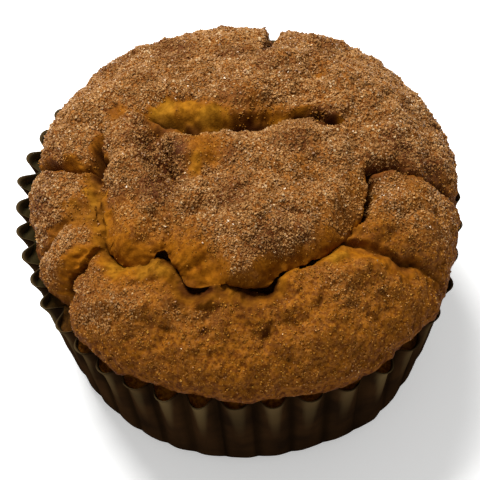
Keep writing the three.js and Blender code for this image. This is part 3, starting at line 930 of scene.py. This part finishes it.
    def sugar(self, points: Array, bare: Array) -> Array:
        """Share of each place on the dome that cinnamon sugar covers. It leaves out bare crumb."""
        x, y, height = points.T
        thick = np.full(len(points), self.thin_sugar)
        for drift in itertools.starmap(SugarDrift, SUGAR_DRIFTS):
            off = ((x - drift.x) / drift.half_width) ** 2 + ((y - drift.y) / drift.half_depth) ** 2
            thick += drift.share * (1.0 - smooth_step(np.sqrt(off), 0.5, 1.4))
        patchy = self.patches.at(self.noise, points)
        upward = smooth_step(height, 1.0, 6.0)
        return np.clip((thick + patchy * (0.4 + thick)) * upward, 0.0, 1.0) * (1.0 - bare) ** 1.5


def add_node(
    tree: Tree,
    kind: str,
    options: dict[str, object] | None = None,
    values: dict[str | int, object] | None = None,
    links: dict[str | int, Socket] | None = None,
) -> Node:
    """Adds one node with its settings and the links into it.

    Args:
        tree: the node tree.
        kind: Blender's name of the kind of node.
        options: the node's own settings.
        values: values of its input sockets.
        links: sockets of other nodes that feed its inputs.

    Returns:
        The new node.
    """
    node = tree.nodes.new(kind)
    for name, value in (options or {}).items():
        setattr(node, name, value)
    for name, value in (values or {}).items():
        node.inputs[name].default_value = value
    for name, socket in (links or {}).items():
        tree.links.new(socket, node.inputs[name])
    return node


def add_noise(tree: Tree, size: float, detail: float, span: Span, rough: float = 0.5) -> Socket:
    """Noise over the object.

    Args:
        tree: the node tree.
        size: size of its spots in millimetres.
        detail: how many finer layers it has.
        span: the values that are stretched to 0 and to 1.
        rough: strength of the finer layers.

    Returns:
        The socket that gives it.
    """
    place = add_node(tree, "ShaderNodeTexCoord").outputs["Object"]
    values = {"Scale": 1.0 / (size * MM), "Detail": detail, "Roughness": rough}
    cloud = add_node(tree, "ShaderNodeTexNoise", values=values, links={"Vector": place}).outputs[0]
    stretch = {"From Min": span[0], "From Max": span[1]}
    return add_node(tree, "ShaderNodeMapRange", values=stretch, links={"Value": cloud}).outputs[0]


def add_mark(tree: Tree, name: str) -> Socket:
    """A number that the mesh carries at each point."""
    return add_node(tree, "ShaderNodeAttribute", {"attribute_name": name}).outputs["Fac"]


def mix_colours(tree: Tree, share: Socket, low: Socket | str, high: Socket | str) -> Socket:
    """A colour between two others, each a socket or an sRGB hex value.

    Args:
        tree: the node tree.
        share: 0 gives the low colour and 1 the high one.
        low: the first colour.
        high: the second colour.

    Returns:
        The socket that gives the mixed colour.
    """
    values: dict[str | int, object] = {}
    links: dict[str | int, Socket] = {0: share}
    for slot, colour in ((6, low), (7, high)):
        if isinstance(colour, str):
            values[slot] = linear_colour(colour)
        else:
            links[slot] = colour
    return add_node(tree, "ShaderNodeMix", {"data_type": "RGBA"}, values, links).outputs[2]


@dataclass(frozen=True)
class Finish:
    """What every finish has: a name, the sheen of its surface and a fresh node tree."""

    name: str
    roughness: float
    ior: float
    gloss: float = 0.5

    def start(self) -> tuple[Material, Tree, Node]:
        """A new material, its node tree and its shader node."""
        material = bpy.data.materials.new(self.name)
        material.use_nodes = True
        tree = material.node_tree
        tree.nodes.clear()
        sheen = {"Roughness": self.roughness, "IOR": self.ior, "Specular IOR Level": self.gloss}
        shader = add_node(tree, "ShaderNodeBsdfPrincipled", values=sheen)
        add_node(tree, "ShaderNodeOutputMaterial", links={"Surface": shader.outputs["BSDF"]})
        return material, tree, shader

    @staticmethod
    def roughen(tree: Tree, shader: Node, height: Socket, strength: float, depth: float) -> None:
        """Gives the shader a fine relief.

        Args:
            tree: the node tree.
            shader: the shader.
            height: the socket that gives the relief's height.
            strength: how much of it shows.
            depth: its depth in millimetres.
        """
        values = {"Strength": strength, "Distance": depth * MM}
        bump = add_node(tree, "ShaderNodeBump", values=values, links={"Height": height})
        tree.links.new(bump.outputs[0], shader.inputs["Normal"])


@dataclass(frozen=True)
class BakedCrumb(Finish):
    """Baked pumpkin cake: an open, oily crumb, browned outside and ochre where the crust has split.

    The crust is mottled by its air bubbles, about a millimetre across, and the split faces are smooth and
    more yellow. The pits of the bubbles and the floors of the cracks carry painted shade, so the pits read as
    dark dots with lighter walls between them. Next to the paper, at the sides, the cake is dark olive with
    the fat that has wetted it, and partly with painted shade of the gap under the crown's edge.
    """

    name: str = "baked_crumb"
    roughness: float = 0.7
    ior: float = 1.45
    gloss: float = 0.03
    crust_light: str = "#94590E"
    crust_dark: str = "#572A03"
    split_light: str = "#A26210"
    split_dark: str = "#663604"
    fresh_light: str = "#A46E1A"
    fresh_dark: str = "#6A4106"
    dusted_light: str = "#9C6630"
    dusted_dark: str = "#64360E"
    # The last three colours stand partly for painted shade: in cracks, in hollows and pits, and in the gap at
    # the sides.
    spiced: str = "#55301C"
    toasted_and_shaded: str = "#3A1A06"
    soaked_and_shade: str = "#2C2411"
    soft_size: float = 1.9
    mottle_size: float = 0.7
    speck_size: float = 0.42
    grain_size: float = 0.3
    noise_rough: float = 0.65

    def build(self) -> Material:
        """Makes the material."""
        material, tree, shader = self.start()
        fleck = add_noise(tree, self.speck_size, 2.0, (0.42, 0.62), self.noise_rough)
        shade = add_noise(tree, self.soft_size, 5.0, (0.36, 0.64), self.noise_rough)
        mottle = add_noise(tree, self.mottle_size, 3.0, (0.4, 0.6), self.noise_rough)
        colour = mix_colours(tree, mottle, self.crust_dark, self.crust_light)
        # Over the crust: sugar dusting, split and fresh crumb, dark cinnamon with painted shade in cracks,
        # browning with painted shade in hollows and pits, and dark olive crumb with painted shade at the
        # sides.
        layers = (
            ("sugar", mix_colours(tree, fleck, self.dusted_dark, self.dusted_light)),
            ("bare", mix_colours(tree, shade, self.split_dark, self.split_light)),
            ("fresh", mix_colours(tree, shade, self.fresh_dark, self.fresh_light)),
            ("spice_and_shade", self.spiced),
            ("toast_and_shade", self.toasted_and_shaded),
            ("soaked_and_shade", self.soaked_and_shade),
        )
        for mark, over in layers:
            colour = mix_colours(tree, add_mark(tree, mark), colour, over)
        tree.links.new(colour, shader.inputs["Base Color"])
        grain = add_noise(tree, self.grain_size, 2.0, (0.0, 1.0), self.noise_rough)
        self.roughen(tree, shader, grain, 0.5, 0.14)
        return material


@dataclass(frozen=True)
class SugarCrystal(Finish):
    """Crystals of sugar, clear or coated with ground cinnamon.

    Their flat faces glint one by one, so the topping sparkles where a face turns to the light. Where they
    lie thin, the cake's fat has wetted them and they look golden.
    """

    name: str = "cinnamon_sugar"
    roughness: float = 0.35
    ior: float = 1.54
    gloss: float = 0.1
    dark: str = "#663E16"
    light: str = "#B2824C"
    damp_dark: str = "#764610"
    damp_light: str = "#9E661E"

    def build(self) -> Material:
        """Makes the material."""
        material, tree, shader = self.start()
        tone = add_mark(tree, "tone")
        dry = mix_colours(tree, tone, self.dark, self.light)
        damp = mix_colours(tree, tone, self.damp_dark, self.damp_light)
        colour = mix_colours(tree, add_mark(tree, "damp"), dry, damp)
        tree.links.new(colour, shader.inputs["Base Color"])
        return material


@dataclass(frozen=True)
class GreaseproofPaper(Finish):
    """Dark, brownish greaseproof paper, wetted through by the cake's fat while baking.

    The fat makes it dark and dull. The creases carry painted shade, nearly black, and towards the rim the
    tips of the folds and the inner face carry a lighter, more olive painted highlight.
    """

    name: str = "greaseproof_paper"
    roughness: float = 0.5
    ior: float = 1.48
    gloss: float = 0.0
    paper_light: str = "#2C1C0E"
    paper_dark: str = "#1B1109"
    # Colour of the painted highlight on the tips and on the inner face near the rim.
    rim: str = "#52432A"
    # Colour of the painted shade in the creases.
    crease_shade: str = "#110A04"
    stain_size: float = 7.0
    fibre_size: float = 0.35

    def build(self) -> Material:
        """Makes the material."""
        material, tree, shader = self.start()
        wet = add_noise(tree, self.stain_size, 3.0, (0.35, 0.65))
        colour = mix_colours(tree, wet, self.paper_dark, self.paper_light)
        # Painted highlight on the tips and the inner face, then painted shade in the creases.
        colour = mix_colours(tree, add_mark(tree, "tip"), colour, self.rim)
        colour = mix_colours(tree, add_mark(tree, "crease"), colour, self.crease_shade)
        tree.links.new(colour, shader.inputs["Base Color"])
        self.roughen(tree, shader, add_noise(tree, self.fibre_size, 3.0, (0.0, 1.0)), 0.25, 0.05)
        return material


@dataclass
class PaperCase:
    """The pleated paper baking case."""

    form: CaseForm
    per_pleat: int = 16
    wall_rows: int = 34
    corner_rows: int = 7
    thickness: float = 0.16
    crease_height: float = 0.07
    # Share of painted light on the inner face near the rim.
    inside_highlight: float = 0.9
    noise: SolidNoise = field(default_factory=lambda: SolidNoise(5))

    def _rings(self, bearings: Array, inset: float) -> list[Array]:
        """Rings of one face of the paper, from the base up."""
        shares = np.arange(self.corner_rows + 1) / self.corner_rows
        climbs = np.arange(1, self.wall_rows + 1) / self.wall_rows
        corner = [self.form.corner(bearings, share, inset) for share in shares]
        return corner + [self.form.wall(bearings, climb, inset) for climb in climbs]

    def _shades(self, bearings: Array, climb: float, extra: float) -> tuple[Array, Array]:
        """Painted highlight on the pleats' tips and painted shade in the creases; the extra is painted light
        on the inner face near the rim.
        """
        bright = 0.64 + 0.36 * self.form.pleats.unevenness(bearings)
        fold = self.form.pleats.fold(bearings, climb)
        height = np.full_like(fold, climb)
        # Painted light on the inner face near the rim.
        inside = extra * smooth_step(height, 0.75, 0.92)
        # Painted highlight on the broad tips of the pleats, stronger higher up.
        fan = smooth_step(fold, 0.9 * (1.0 - climb**2.5), 1.0) * smooth_step(height, 0.3, 0.95) * bright
        # Painted shade in the creases between the pleats.
        crease = (1.0 - smooth_step(fold, -1.0, 0.4)) * (1.35 - bright) * (1.0 - inside)
        return np.maximum(fan, inside), crease

    def build(self) -> bpy.types.Object:
        """Makes the case as a thin closed sheet."""
        bearings = self.form.pleats.bearings(self.per_pleat)
        outer = self._rings(bearings, 0.0)
        inner = self._rings(bearings, self.thickness * 1.3)[::-1]
        climbs = [max(0, row - self.corner_rows) / self.wall_rows for row in range(len(outer))]
        shades = [self._shades(bearings, climb, 0.0) for climb in climbs]
        shades += [self._shades(bearings, climb, self.inside_highlight) for climb in climbs[::-1]]
        points, faces = stack_rings(outer + inner, np.zeros(3), np.array([0.0, 0.0, self.thickness]))
        radial = points * np.array([1.0, 1.0, 0.0])
        radial /= np.maximum(np.linalg.norm(radial, axis=1, keepdims=True), 1e-6)
        creases = self.crease_height * self.noise.layers(points * np.array([1.0, 1.0, 0.45]), 3.0, 3)
        points = points + radial * (creases * smooth_step(points[:, 2], 0.3, 4.0))[:, None]
        # Painted highlight on the tips and painted shade in the creases, for each point.
        tips, crease_shading = (np.concatenate([*rows, [0.0, 0.0]]) for rows in zip(*shades))
        case = MeshArrays(points, faces, {"tip": tips, "crease": crease_shading})
        piece = case.write("pleated_case", GreaseproofPaper().build(), PAPER_SLOT)
        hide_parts(CASE_NODE)
        return piece


@dataclass
class Cake:
    """The baked cake: its pleated body in the case and its cracked crown."""

    case: CaseForm
    relief: Relief
    per_pleat: int = 20
    body_rows: int = 5
    corner_rows: int = 2
    shoulder_rows: int = 5
    underside_rows: int = 8
    crown_rows: int = 128
    halve_at: tuple[float, ...] = (17.5, 8.8, 4.4)
    inset: float = 0.26
    below_rim: float = 0.9
    below_rim_at_side: float = 1.9
    above_valley: float = 0.15
    body_top: float = 0.93
    body_toast: float = 0.45
    darkening_height: float = 9.0
    mark_names: tuple[str, ...] = ("bare", "fresh", "sugar", "spice_and_shade", "toast_and_shade", "soaked_and_shade")
    rings: list[tuple[Array, Marks]] = field(default_factory=list)

    def build(self) -> MeshArrays:
        """Makes the cake as one closed surface, and returns its arrays, which the sugar lies on."""
        bearings = self.case.pleats.bearings(self.per_pleat)
        self._add_body(bearings)
        for row in range(self.underside_rows):
            self._add_carved(*self._underside_ring(bearings, row / self.underside_rows))
        self._add_dome(bearings)
        crown = self.relief.form
        top, top_marks = self.relief.carve(*crown.dome(np.array([0.0]), 0.0))
        base = np.array([0.0, 0.0, self.inset])
        points, faces = stack_rings([ring for ring, _ in self.rings], base, top[0] + crown.centre)
        marks = {}
        for name in self.mark_names:
            parts = [np.broadcast_to(found.get(name, 0.0), len(ring)) for ring, found in self.rings]
            marks[name] = np.concatenate([*parts, [0.0], top_marks.get(name, [0.0])])
        arrays = MeshArrays(points, faces, marks)
        piece = arrays.write("baked_cake", BakedCrumb().build(), CAKE_SLOT)
        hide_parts(CAKE_NODE)
        return arrays

    @staticmethod
    def front_share(bearings: Array) -> Array:
        """1 on the side of the cake that faces the viewer, 0 round to the back."""
        return smooth_step(-np.sin(bearings), 0.35, 0.85)

    def _body_rings(self, bearings: Array) -> Iterator[Array]:
        """Rings of the body in the case, then of the crumb from the pleats' tips to the underside."""
        for row in range(self.corner_rows + 1):
            yield self.case.corner(bearings, row / self.corner_rows, self.inset)
        for row in range(1, self.body_rows + 1):
            yield self.case.wall(bearings, self.body_top * row / self.body_rows, self.inset)
        tip = smooth_step(self.case.pleats.fold(bearings, 1.0), -0.9, 0.6)
        wall_height = self.case.rim_height - self.case.corner_top_height
        front = self.front_share(bearings)
        below_rim = self.below_rim_at_side + (self.below_rim - self.below_rim_at_side) * front
        fill = 1.0 + self.above_valley / wall_height - tip * (below_rim + self.above_valley) / wall_height
        start = self.case.wall(bearings, fill, self.inset + 0.1 * tip)
        end = self._underside_ring(bearings, 0.0)[0] + self.relief.form.centre
        for row in range(self.shoulder_rows):
            share = row / self.shoulder_rows
            ring = start + (end - start) * share
            ring[:, 2] -= 0.5 * tip * math.sin(math.pi * share)
            ring[:, 2] += 0.12 * self.relief.noise.layers(ring, 1.2, 2) * math.sin(math.pi * share)
            yield ring

    def _add_body(self, bearings: Array) -> None:
        """Adds the body and its shoulder: browned at the front, and dark olive at the sides, wet with fat and
        partly painted shade of the gap under the crown's edge.
        """
        side = 1.0 - self.front_share(bearings)
        for ring in self._body_rings(bearings):
            self.rings.append((ring, {"toast_and_shade": self.body_toast, "soaked_and_shade": side}))

    def _underside_ring(self, bearings: Array, share: float) -> tuple[Array, Marks]:
        """A ring of the crown's underside, from its inner edge at share 0 to the widest line at share 1."""
        crown = self.relief.form
        sweep = TURN / 4.0 * (1.0 - share)
        points, outward = crown.dome(bearings, TURN / 4.0)
        outward = outward * np.array([1.0, 1.0, 0.0])
        points = points - outward * crown.turn_in * (1.0 - math.cos(sweep))
        points[:, 2] = crown.widest - (crown.widest - crown.underside) * math.sin(sweep)
        return self.relief.carve(points, outward)

    def _add_dome(self, bearings: Array) -> None:
        """Adds the dome, with fewer points a ring towards its top."""
        crown = self.relief.form
        halvings = list(self.halve_at)
        for angle in crown.angles(self.crown_rows):
            out, _ = crown.shares(angle)
            if halvings and crown.radius * out < halvings[0]:
                halvings.pop(0)
                bearings = bearings[::2]
            self._add_carved(*self.relief.carve(*crown.dome(bearings, float(angle))))

    def _add_carved(self, ring: Array, found: Marks) -> None:
        """Adds a carved ring, and works out its browning and the painted shade that darkens hollows, pits and
        listed spots.
        """
        # Darker towards the crown's lower edge.
        low = 0.5 * (1.0 - smooth_step(ring[:, 2], 1.5, self.darkening_height))
        lowest = 0.4 * (1.0 - smooth_step(ring[:, 2], 0.3, 2.6))
        # Painted shade: hollows and the floors of cracks darken with their depth.
        hollow_shade = 0.7 * smooth_step(found["hollow"], 0.2, 0.85) * (1.0 - 0.55 * found["fresh"])
        # Painted shade in the pits of the bubbles.
        pit_shade = 0.6 * np.clip(found["pore"], 0.0, 1.0)
        found["toast_and_shade"] = np.clip(low + lowest + hollow_shade + pit_shade + found["brown_and_shade"], 0.0, 1.0)
        self.rings.append((ring + self.relief.form.centre, found))


class GrainShape(Enum):
    """Shape of one piece of the topping."""

    CRYSTAL = "crystal"
    SPLINTER = "splinter"
    FLAKE = "flake"


@dataclass(frozen=True)
class GrainKind:
    """One kind of piece that lies on the crown."""

    name: str
    shape: GrainShape
    count: int
    smallest: float
    largest: float
    least_cover: float
    spice_pull: float
    finish: SugarCrystal
    seed: int

    def form(self) -> tuple[Array, Array, tuple[float, float]]:
        """Corners of one grain of length 1, its faces, and the least and most that it is stretched."""
        if self.shape is GrainShape.CRYSTAL:
            box = np.array(list(itertools.product((-0.5, 0.5), repeat=3)))
            faces = [[0, 1, 3, 2], [4, 6, 7, 5], [0, 4, 5, 1], [2, 3, 7, 6], [0, 2, 6, 4], [1, 5, 7, 3]]
            return box, np.array(faces), (0.65, 1.15)
        half = 0.5 if self.shape is GrainShape.SPLINTER else 0.2
        ends = [[-0.5, 0, 0], [0.5, 0, 0], [0, -0.5, 0], [0, 0.5, 0], [0, 0, -half], [0, 0, half]]
        faces = [[0, 2, 5], [2, 1, 5], [1, 3, 5], [3, 0, 5], [2, 0, 4], [1, 2, 4], [3, 1, 4], [0, 3, 4]]
        return np.array(ends), np.array(faces), (0.5, 1.3)

    def turns(self, rng: np.random.Generator, facing: Array) -> Array:
        """Random turns of the grains. Flakes lie flat on the surface and the others lie any way."""
        quaternions = rng.normal(size=(len(facing), 4))
        quaternions /= np.linalg.norm(quaternions, axis=1, keepdims=True)
        w, x, y, z = quaternions.T
        rows = (
            (1 - 2 * (y * y + z * z), 2 * (x * y - z * w), 2 * (x * z + y * w)),
            (2 * (x * y + z * w), 1 - 2 * (x * x + z * z), 2 * (y * z - x * w)),
            (2 * (x * z - y * w), 2 * (y * z + x * w), 1 - 2 * (x * x + y * y)),
        )
        turns = np.moveaxis(np.array(rows), 2, 0)
        if self.shape is not GrainShape.FLAKE:
            return turns
        side = np.cross(facing, turns[:, 0])
        side /= np.maximum(np.linalg.norm(side, axis=1, keepdims=True), 1e-9)
        return np.stack([side, np.cross(facing, side), facing], axis=2)


@dataclass
class Topping:
    """Cinnamon sugar scattered on the crown, one mesh for each kind of grain."""

    cake: MeshArrays
    clump_size: float = 1.3
    tone_size: float = 1.15
    patch_size: float = 5.0
    lowest: float = 30.5
    jitter: float = 0.09
    lift: float = 0.14
    noise: SolidNoise = field(default_factory=lambda: SolidNoise(31))

    def __post_init__(self) -> None:
        """Works out where the grains gather on the cake's triangles."""
        self.corners = self.cake.points[self.cake.faces]
        cross = np.cross(self.corners[:, 1] - self.corners[:, 0], self.corners[:, 2] - self.corners[:, 0])
        size = np.linalg.norm(cross, axis=1)
        self.facing = cross / np.maximum(size, 1e-9)[:, None]
        self.cover, self.spice_and_shade, bare = (
            self.cake.marks[name][self.cake.faces].mean(axis=1) for name in ("sugar", "spice_and_shade", "bare")
        )
        self.room = size * (1.0 - 0.92 * bare)
        clumps = self.noise.layers(self.corners.mean(axis=1), self.clump_size, 2)
        self.loose = smooth_step(clumps, -0.5, 0.5)

    def _weight(self, kind: GrainKind) -> Array:
        """How likely a grain of one kind lies on each triangle."""
        open_up = np.clip(self.facing[:, 2] + 0.35, 0.0, 1.0)
        on_crown = self.corners[:, :, 2].mean(axis=1) > self.lowest
        gathered = 0.45 * self.cover + (1.0 - 0.45 * self.cover) * self.loose
        covered = np.where(on_crown, kind.least_cover + self.cover**1.3, 0.0)
        weight = self.room * open_up * gathered * covered * (1.0 + kind.spice_pull * self.spice_and_shade)
        if kind.shape is GrainShape.FLAKE:
            weight *= smooth_step(self.cover, 0.3, 0.8)
        return weight / weight.sum()

    def scatter(self, kind: GrainKind) -> bpy.types.Object:
        """Scatters one kind of grain over the cake.

        Args:
            kind: the kind of grain.

        Returns:
            The grains' object.
        """
        rng = np.random.default_rng(kind.seed)
        chosen = rng.choice(len(self.room), size=kind.count, p=self._weight(kind))
        cover, facing = self.cover[chosen], self.facing[chosen]
        first = np.sqrt(rng.random(kind.count))
        second = rng.random(kind.count)
        shares = np.stack([1.0 - first, first * (1.0 - second), first * second], axis=1)
        spots = np.einsum("ij,ijk->ik", shares, self.corners[chosen])
        length = kind.smallest + (kind.largest - kind.smallest) * rng.random(kind.count) ** 1.5
        length *= 0.7 + 0.3 * smooth_step(cover, 0.3, 0.9)
        turns = kind.turns(rng, facing)
        unit, sides, stretch = kind.form()
        shaped = unit[None] * rng.uniform(*stretch, (kind.count, 1, 3)) * length[:, None, None]
        shaped = shaped + rng.uniform(-self.jitter, self.jitter, shaped.shape) * length[:, None, None]
        placed = np.einsum("nij,nkj->nki", turns, shaped)
        lift = facing * (self.lift * length)[:, None]
        points = (placed + (spots + lift)[:, None, :]).reshape(-1, 3)
        starts = np.arange(kind.count) * len(unit)
        faces = (sides[None] + starts[:, None, None]).reshape(-1, sides.shape[1])
        patch = 0.5 + 0.75 * self.noise.layers(spots, self.patch_size, 3)
        clump = 0.5 + 0.8 * self.noise.layers(spots + 80.0, self.tone_size, 2)
        tone = 0.3 * rng.random(kind.count) + 0.4 * clump + 0.3 * patch
        # Grains are darker where the crust has dark cinnamon and painted shade.
        tone = np.clip(tone * (1.0 - 0.65 * self.spice_and_shade[chosen]), 0.0, 1.0)
        damp = 1.0 - smooth_step(cover, 0.4, 0.9)
        marks = {"tone": np.repeat(tone, len(unit)), "damp": np.repeat(damp, len(unit))}
        grains = MeshArrays(points, faces, marks)
        return grains.write(kind.name, kind.finish.build(), CAKE_SLOT, smooth=False)


TOPPING_KINDS = (
    GrainKind(
        name="cinnamon_coated_sugar",
        shape=GrainShape.SPLINTER,
        count=24500,
        smallest=0.24,
        largest=0.58,
        least_cover=0.03,
        spice_pull=-0.1,
        finish=SugarCrystal(),
        seed=21,
    ),
    GrainKind(
        name="golden_sugar",
        shape=GrainShape.SPLINTER,
        count=22000,
        smallest=0.2,
        largest=0.52,
        least_cover=0.2,
        spice_pull=-0.6,
        finish=SugarCrystal(
            name="golden_sugar",
            dark="#845424",
            light="#C4965E",
            damp_dark="#8A5614",
            damp_light="#B87E2C",
        ),
        seed=24,
    ),
    GrainKind(
        name="clear_sugar",
        shape=GrainShape.CRYSTAL,
        count=1500,
        smallest=0.2,
        largest=0.36,
        least_cover=0.015,
        spice_pull=-0.8,
        finish=SugarCrystal("clear_sugar", 0.16, 1.54, 0.2, "#A07A50", "#D2B488", "#94641C", "#C89038"),
        seed=22,
    ),
    GrainKind(
        name="ground_cinnamon",
        shape=GrainShape.FLAKE,
        count=16000,
        smallest=0.16,
        largest=0.4,
        least_cover=0.01,
        spice_pull=2.0,
        finish=SugarCrystal("ground_cinnamon", 0.8, 1.45, 0.02, "#43200A", "#703A16", "#552B06", "#7C470C"),
        seed=23,
    ),
)


@dataclass
class Studio:
    """The top of a light table, one soft lamp, even light from all round and the photograph's camera."""

    elevation: float = degrees(59.4)
    distance: float = 500.0
    focal_length: float = 233.55
    sensor_width: float = 36.0
    aim: tuple[float, float, float] = (-1.12, -3.55, 25.9)
    floor_radius: float = 3000.0
    floor_corners: int = 96
    floor_colour: str = "#F4F4F2"
    floor_tint_size: float = 400.0
    sky_colour: str = "#FFFFFF"
    sky_strength: float = 0.315
    table_glow: float = 0.42
    lamp_place: tuple[float, float, float] = (-190.0, 280.0, 650.0)
    lamp_size: float = 300.0
    lamp_watts: float = 8.2

    def build(self) -> None:
        """Makes the camera, the floor, the world and the lamp."""
        bpy.context.scene.view_settings.view_transform = "Standard"
        self._camera()
        self._floor()
        self._sky()
        self._lamp()
        LOG.info("studio ready")

    def _camera(self) -> None:
        """Places the camera."""
        data = bpy.data.cameras.new("photo_camera")
        data.lens = self.focal_length
        data.sensor_width = self.sensor_width
        data.clip_start = 0.01
        data.clip_end = 20.0
        camera = bpy.data.objects.new("photo_camera", data)
        back = np.array([0.0, -math.cos(self.elevation), math.sin(self.elevation)])
        camera.location = (np.array(self.aim) + back * self.distance) * MM
        camera.rotation_euler = (TURN / 4.0 - self.elevation, 0.0, 0.0)
        bpy.context.scene.collection.objects.link(camera)
        bpy.context.scene.camera = camera

    def _floor(self) -> None:
        """Makes the floor, the wide glowing top of a light table under the case."""
        mesh = bpy.data.meshes.new("floor")
        turns = np.linspace(0.0, TURN, self.floor_corners, endpoint=False)
        edge = plan_points(self.floor_radius * MM, turns, 0.0)
        mesh.from_pydata(edge.tolist(), [], [list(range(len(edge)))])
        material, tree, shader = Finish("painted_floor", 0.8, 1.45).start()
        tint = add_noise(tree, self.floor_tint_size, 2.0, (0.0, 1.0))
        colour = mix_colours(tree, tint, self.floor_colour, self.sky_colour)
        tree.links.new(colour, shader.inputs["Base Color"])
        tree.links.new(colour, shader.inputs["Emission Color"])
        shader.inputs["Emission Strength"].default_value = self.table_glow
        mesh.materials.append(material)
        floor = bpy.data.objects.new("floor", mesh)
        bpy.context.scene.collection.objects.link(floor)

    def _sky(self) -> None:
        """Makes the even light from all round."""
        world = bpy.data.worlds.new("studio")
        world.use_nodes = True
        background = world.node_tree.nodes["Background"]
        background.inputs["Color"].default_value = linear_colour(self.sky_colour)
        background.inputs["Strength"].default_value = self.sky_strength
        bpy.context.scene.world = world

    def _lamp(self) -> None:
        """Adds the square soft lamp, turned to the muffin."""
        data = bpy.data.lights.new("key_softbox", "AREA")
        data.shape = "SQUARE"
        data.size = self.lamp_size * MM
        data.energy = self.lamp_watts
        lamp = bpy.data.objects.new("key_softbox", data)
        lamp.location = tuple(part * MM for part in self.lamp_place)
        x, y, height = np.array(self.lamp_place) - np.array(self.aim)
        lamp.rotation_euler = (math.atan2(math.hypot(x, y), height), 0.0, math.atan2(x, -y))
        bpy.context.scene.collection.objects.link(lamp)


def main() -> None:
    """Builds the muffin and its studio."""
    logging.basicConfig(level=logging.INFO, format="%(name)s %(message)s")
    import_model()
    Studio().build()
    case_form = CaseForm()
    PaperCase(case_form).build()
    cake = Cake(case_form, Relief(CrownForm())).build()
    topping = Topping(cake)
    for kind in TOPPING_KINDS:
        topping.scatter(kind)


if __name__ == "__main__":
    main()
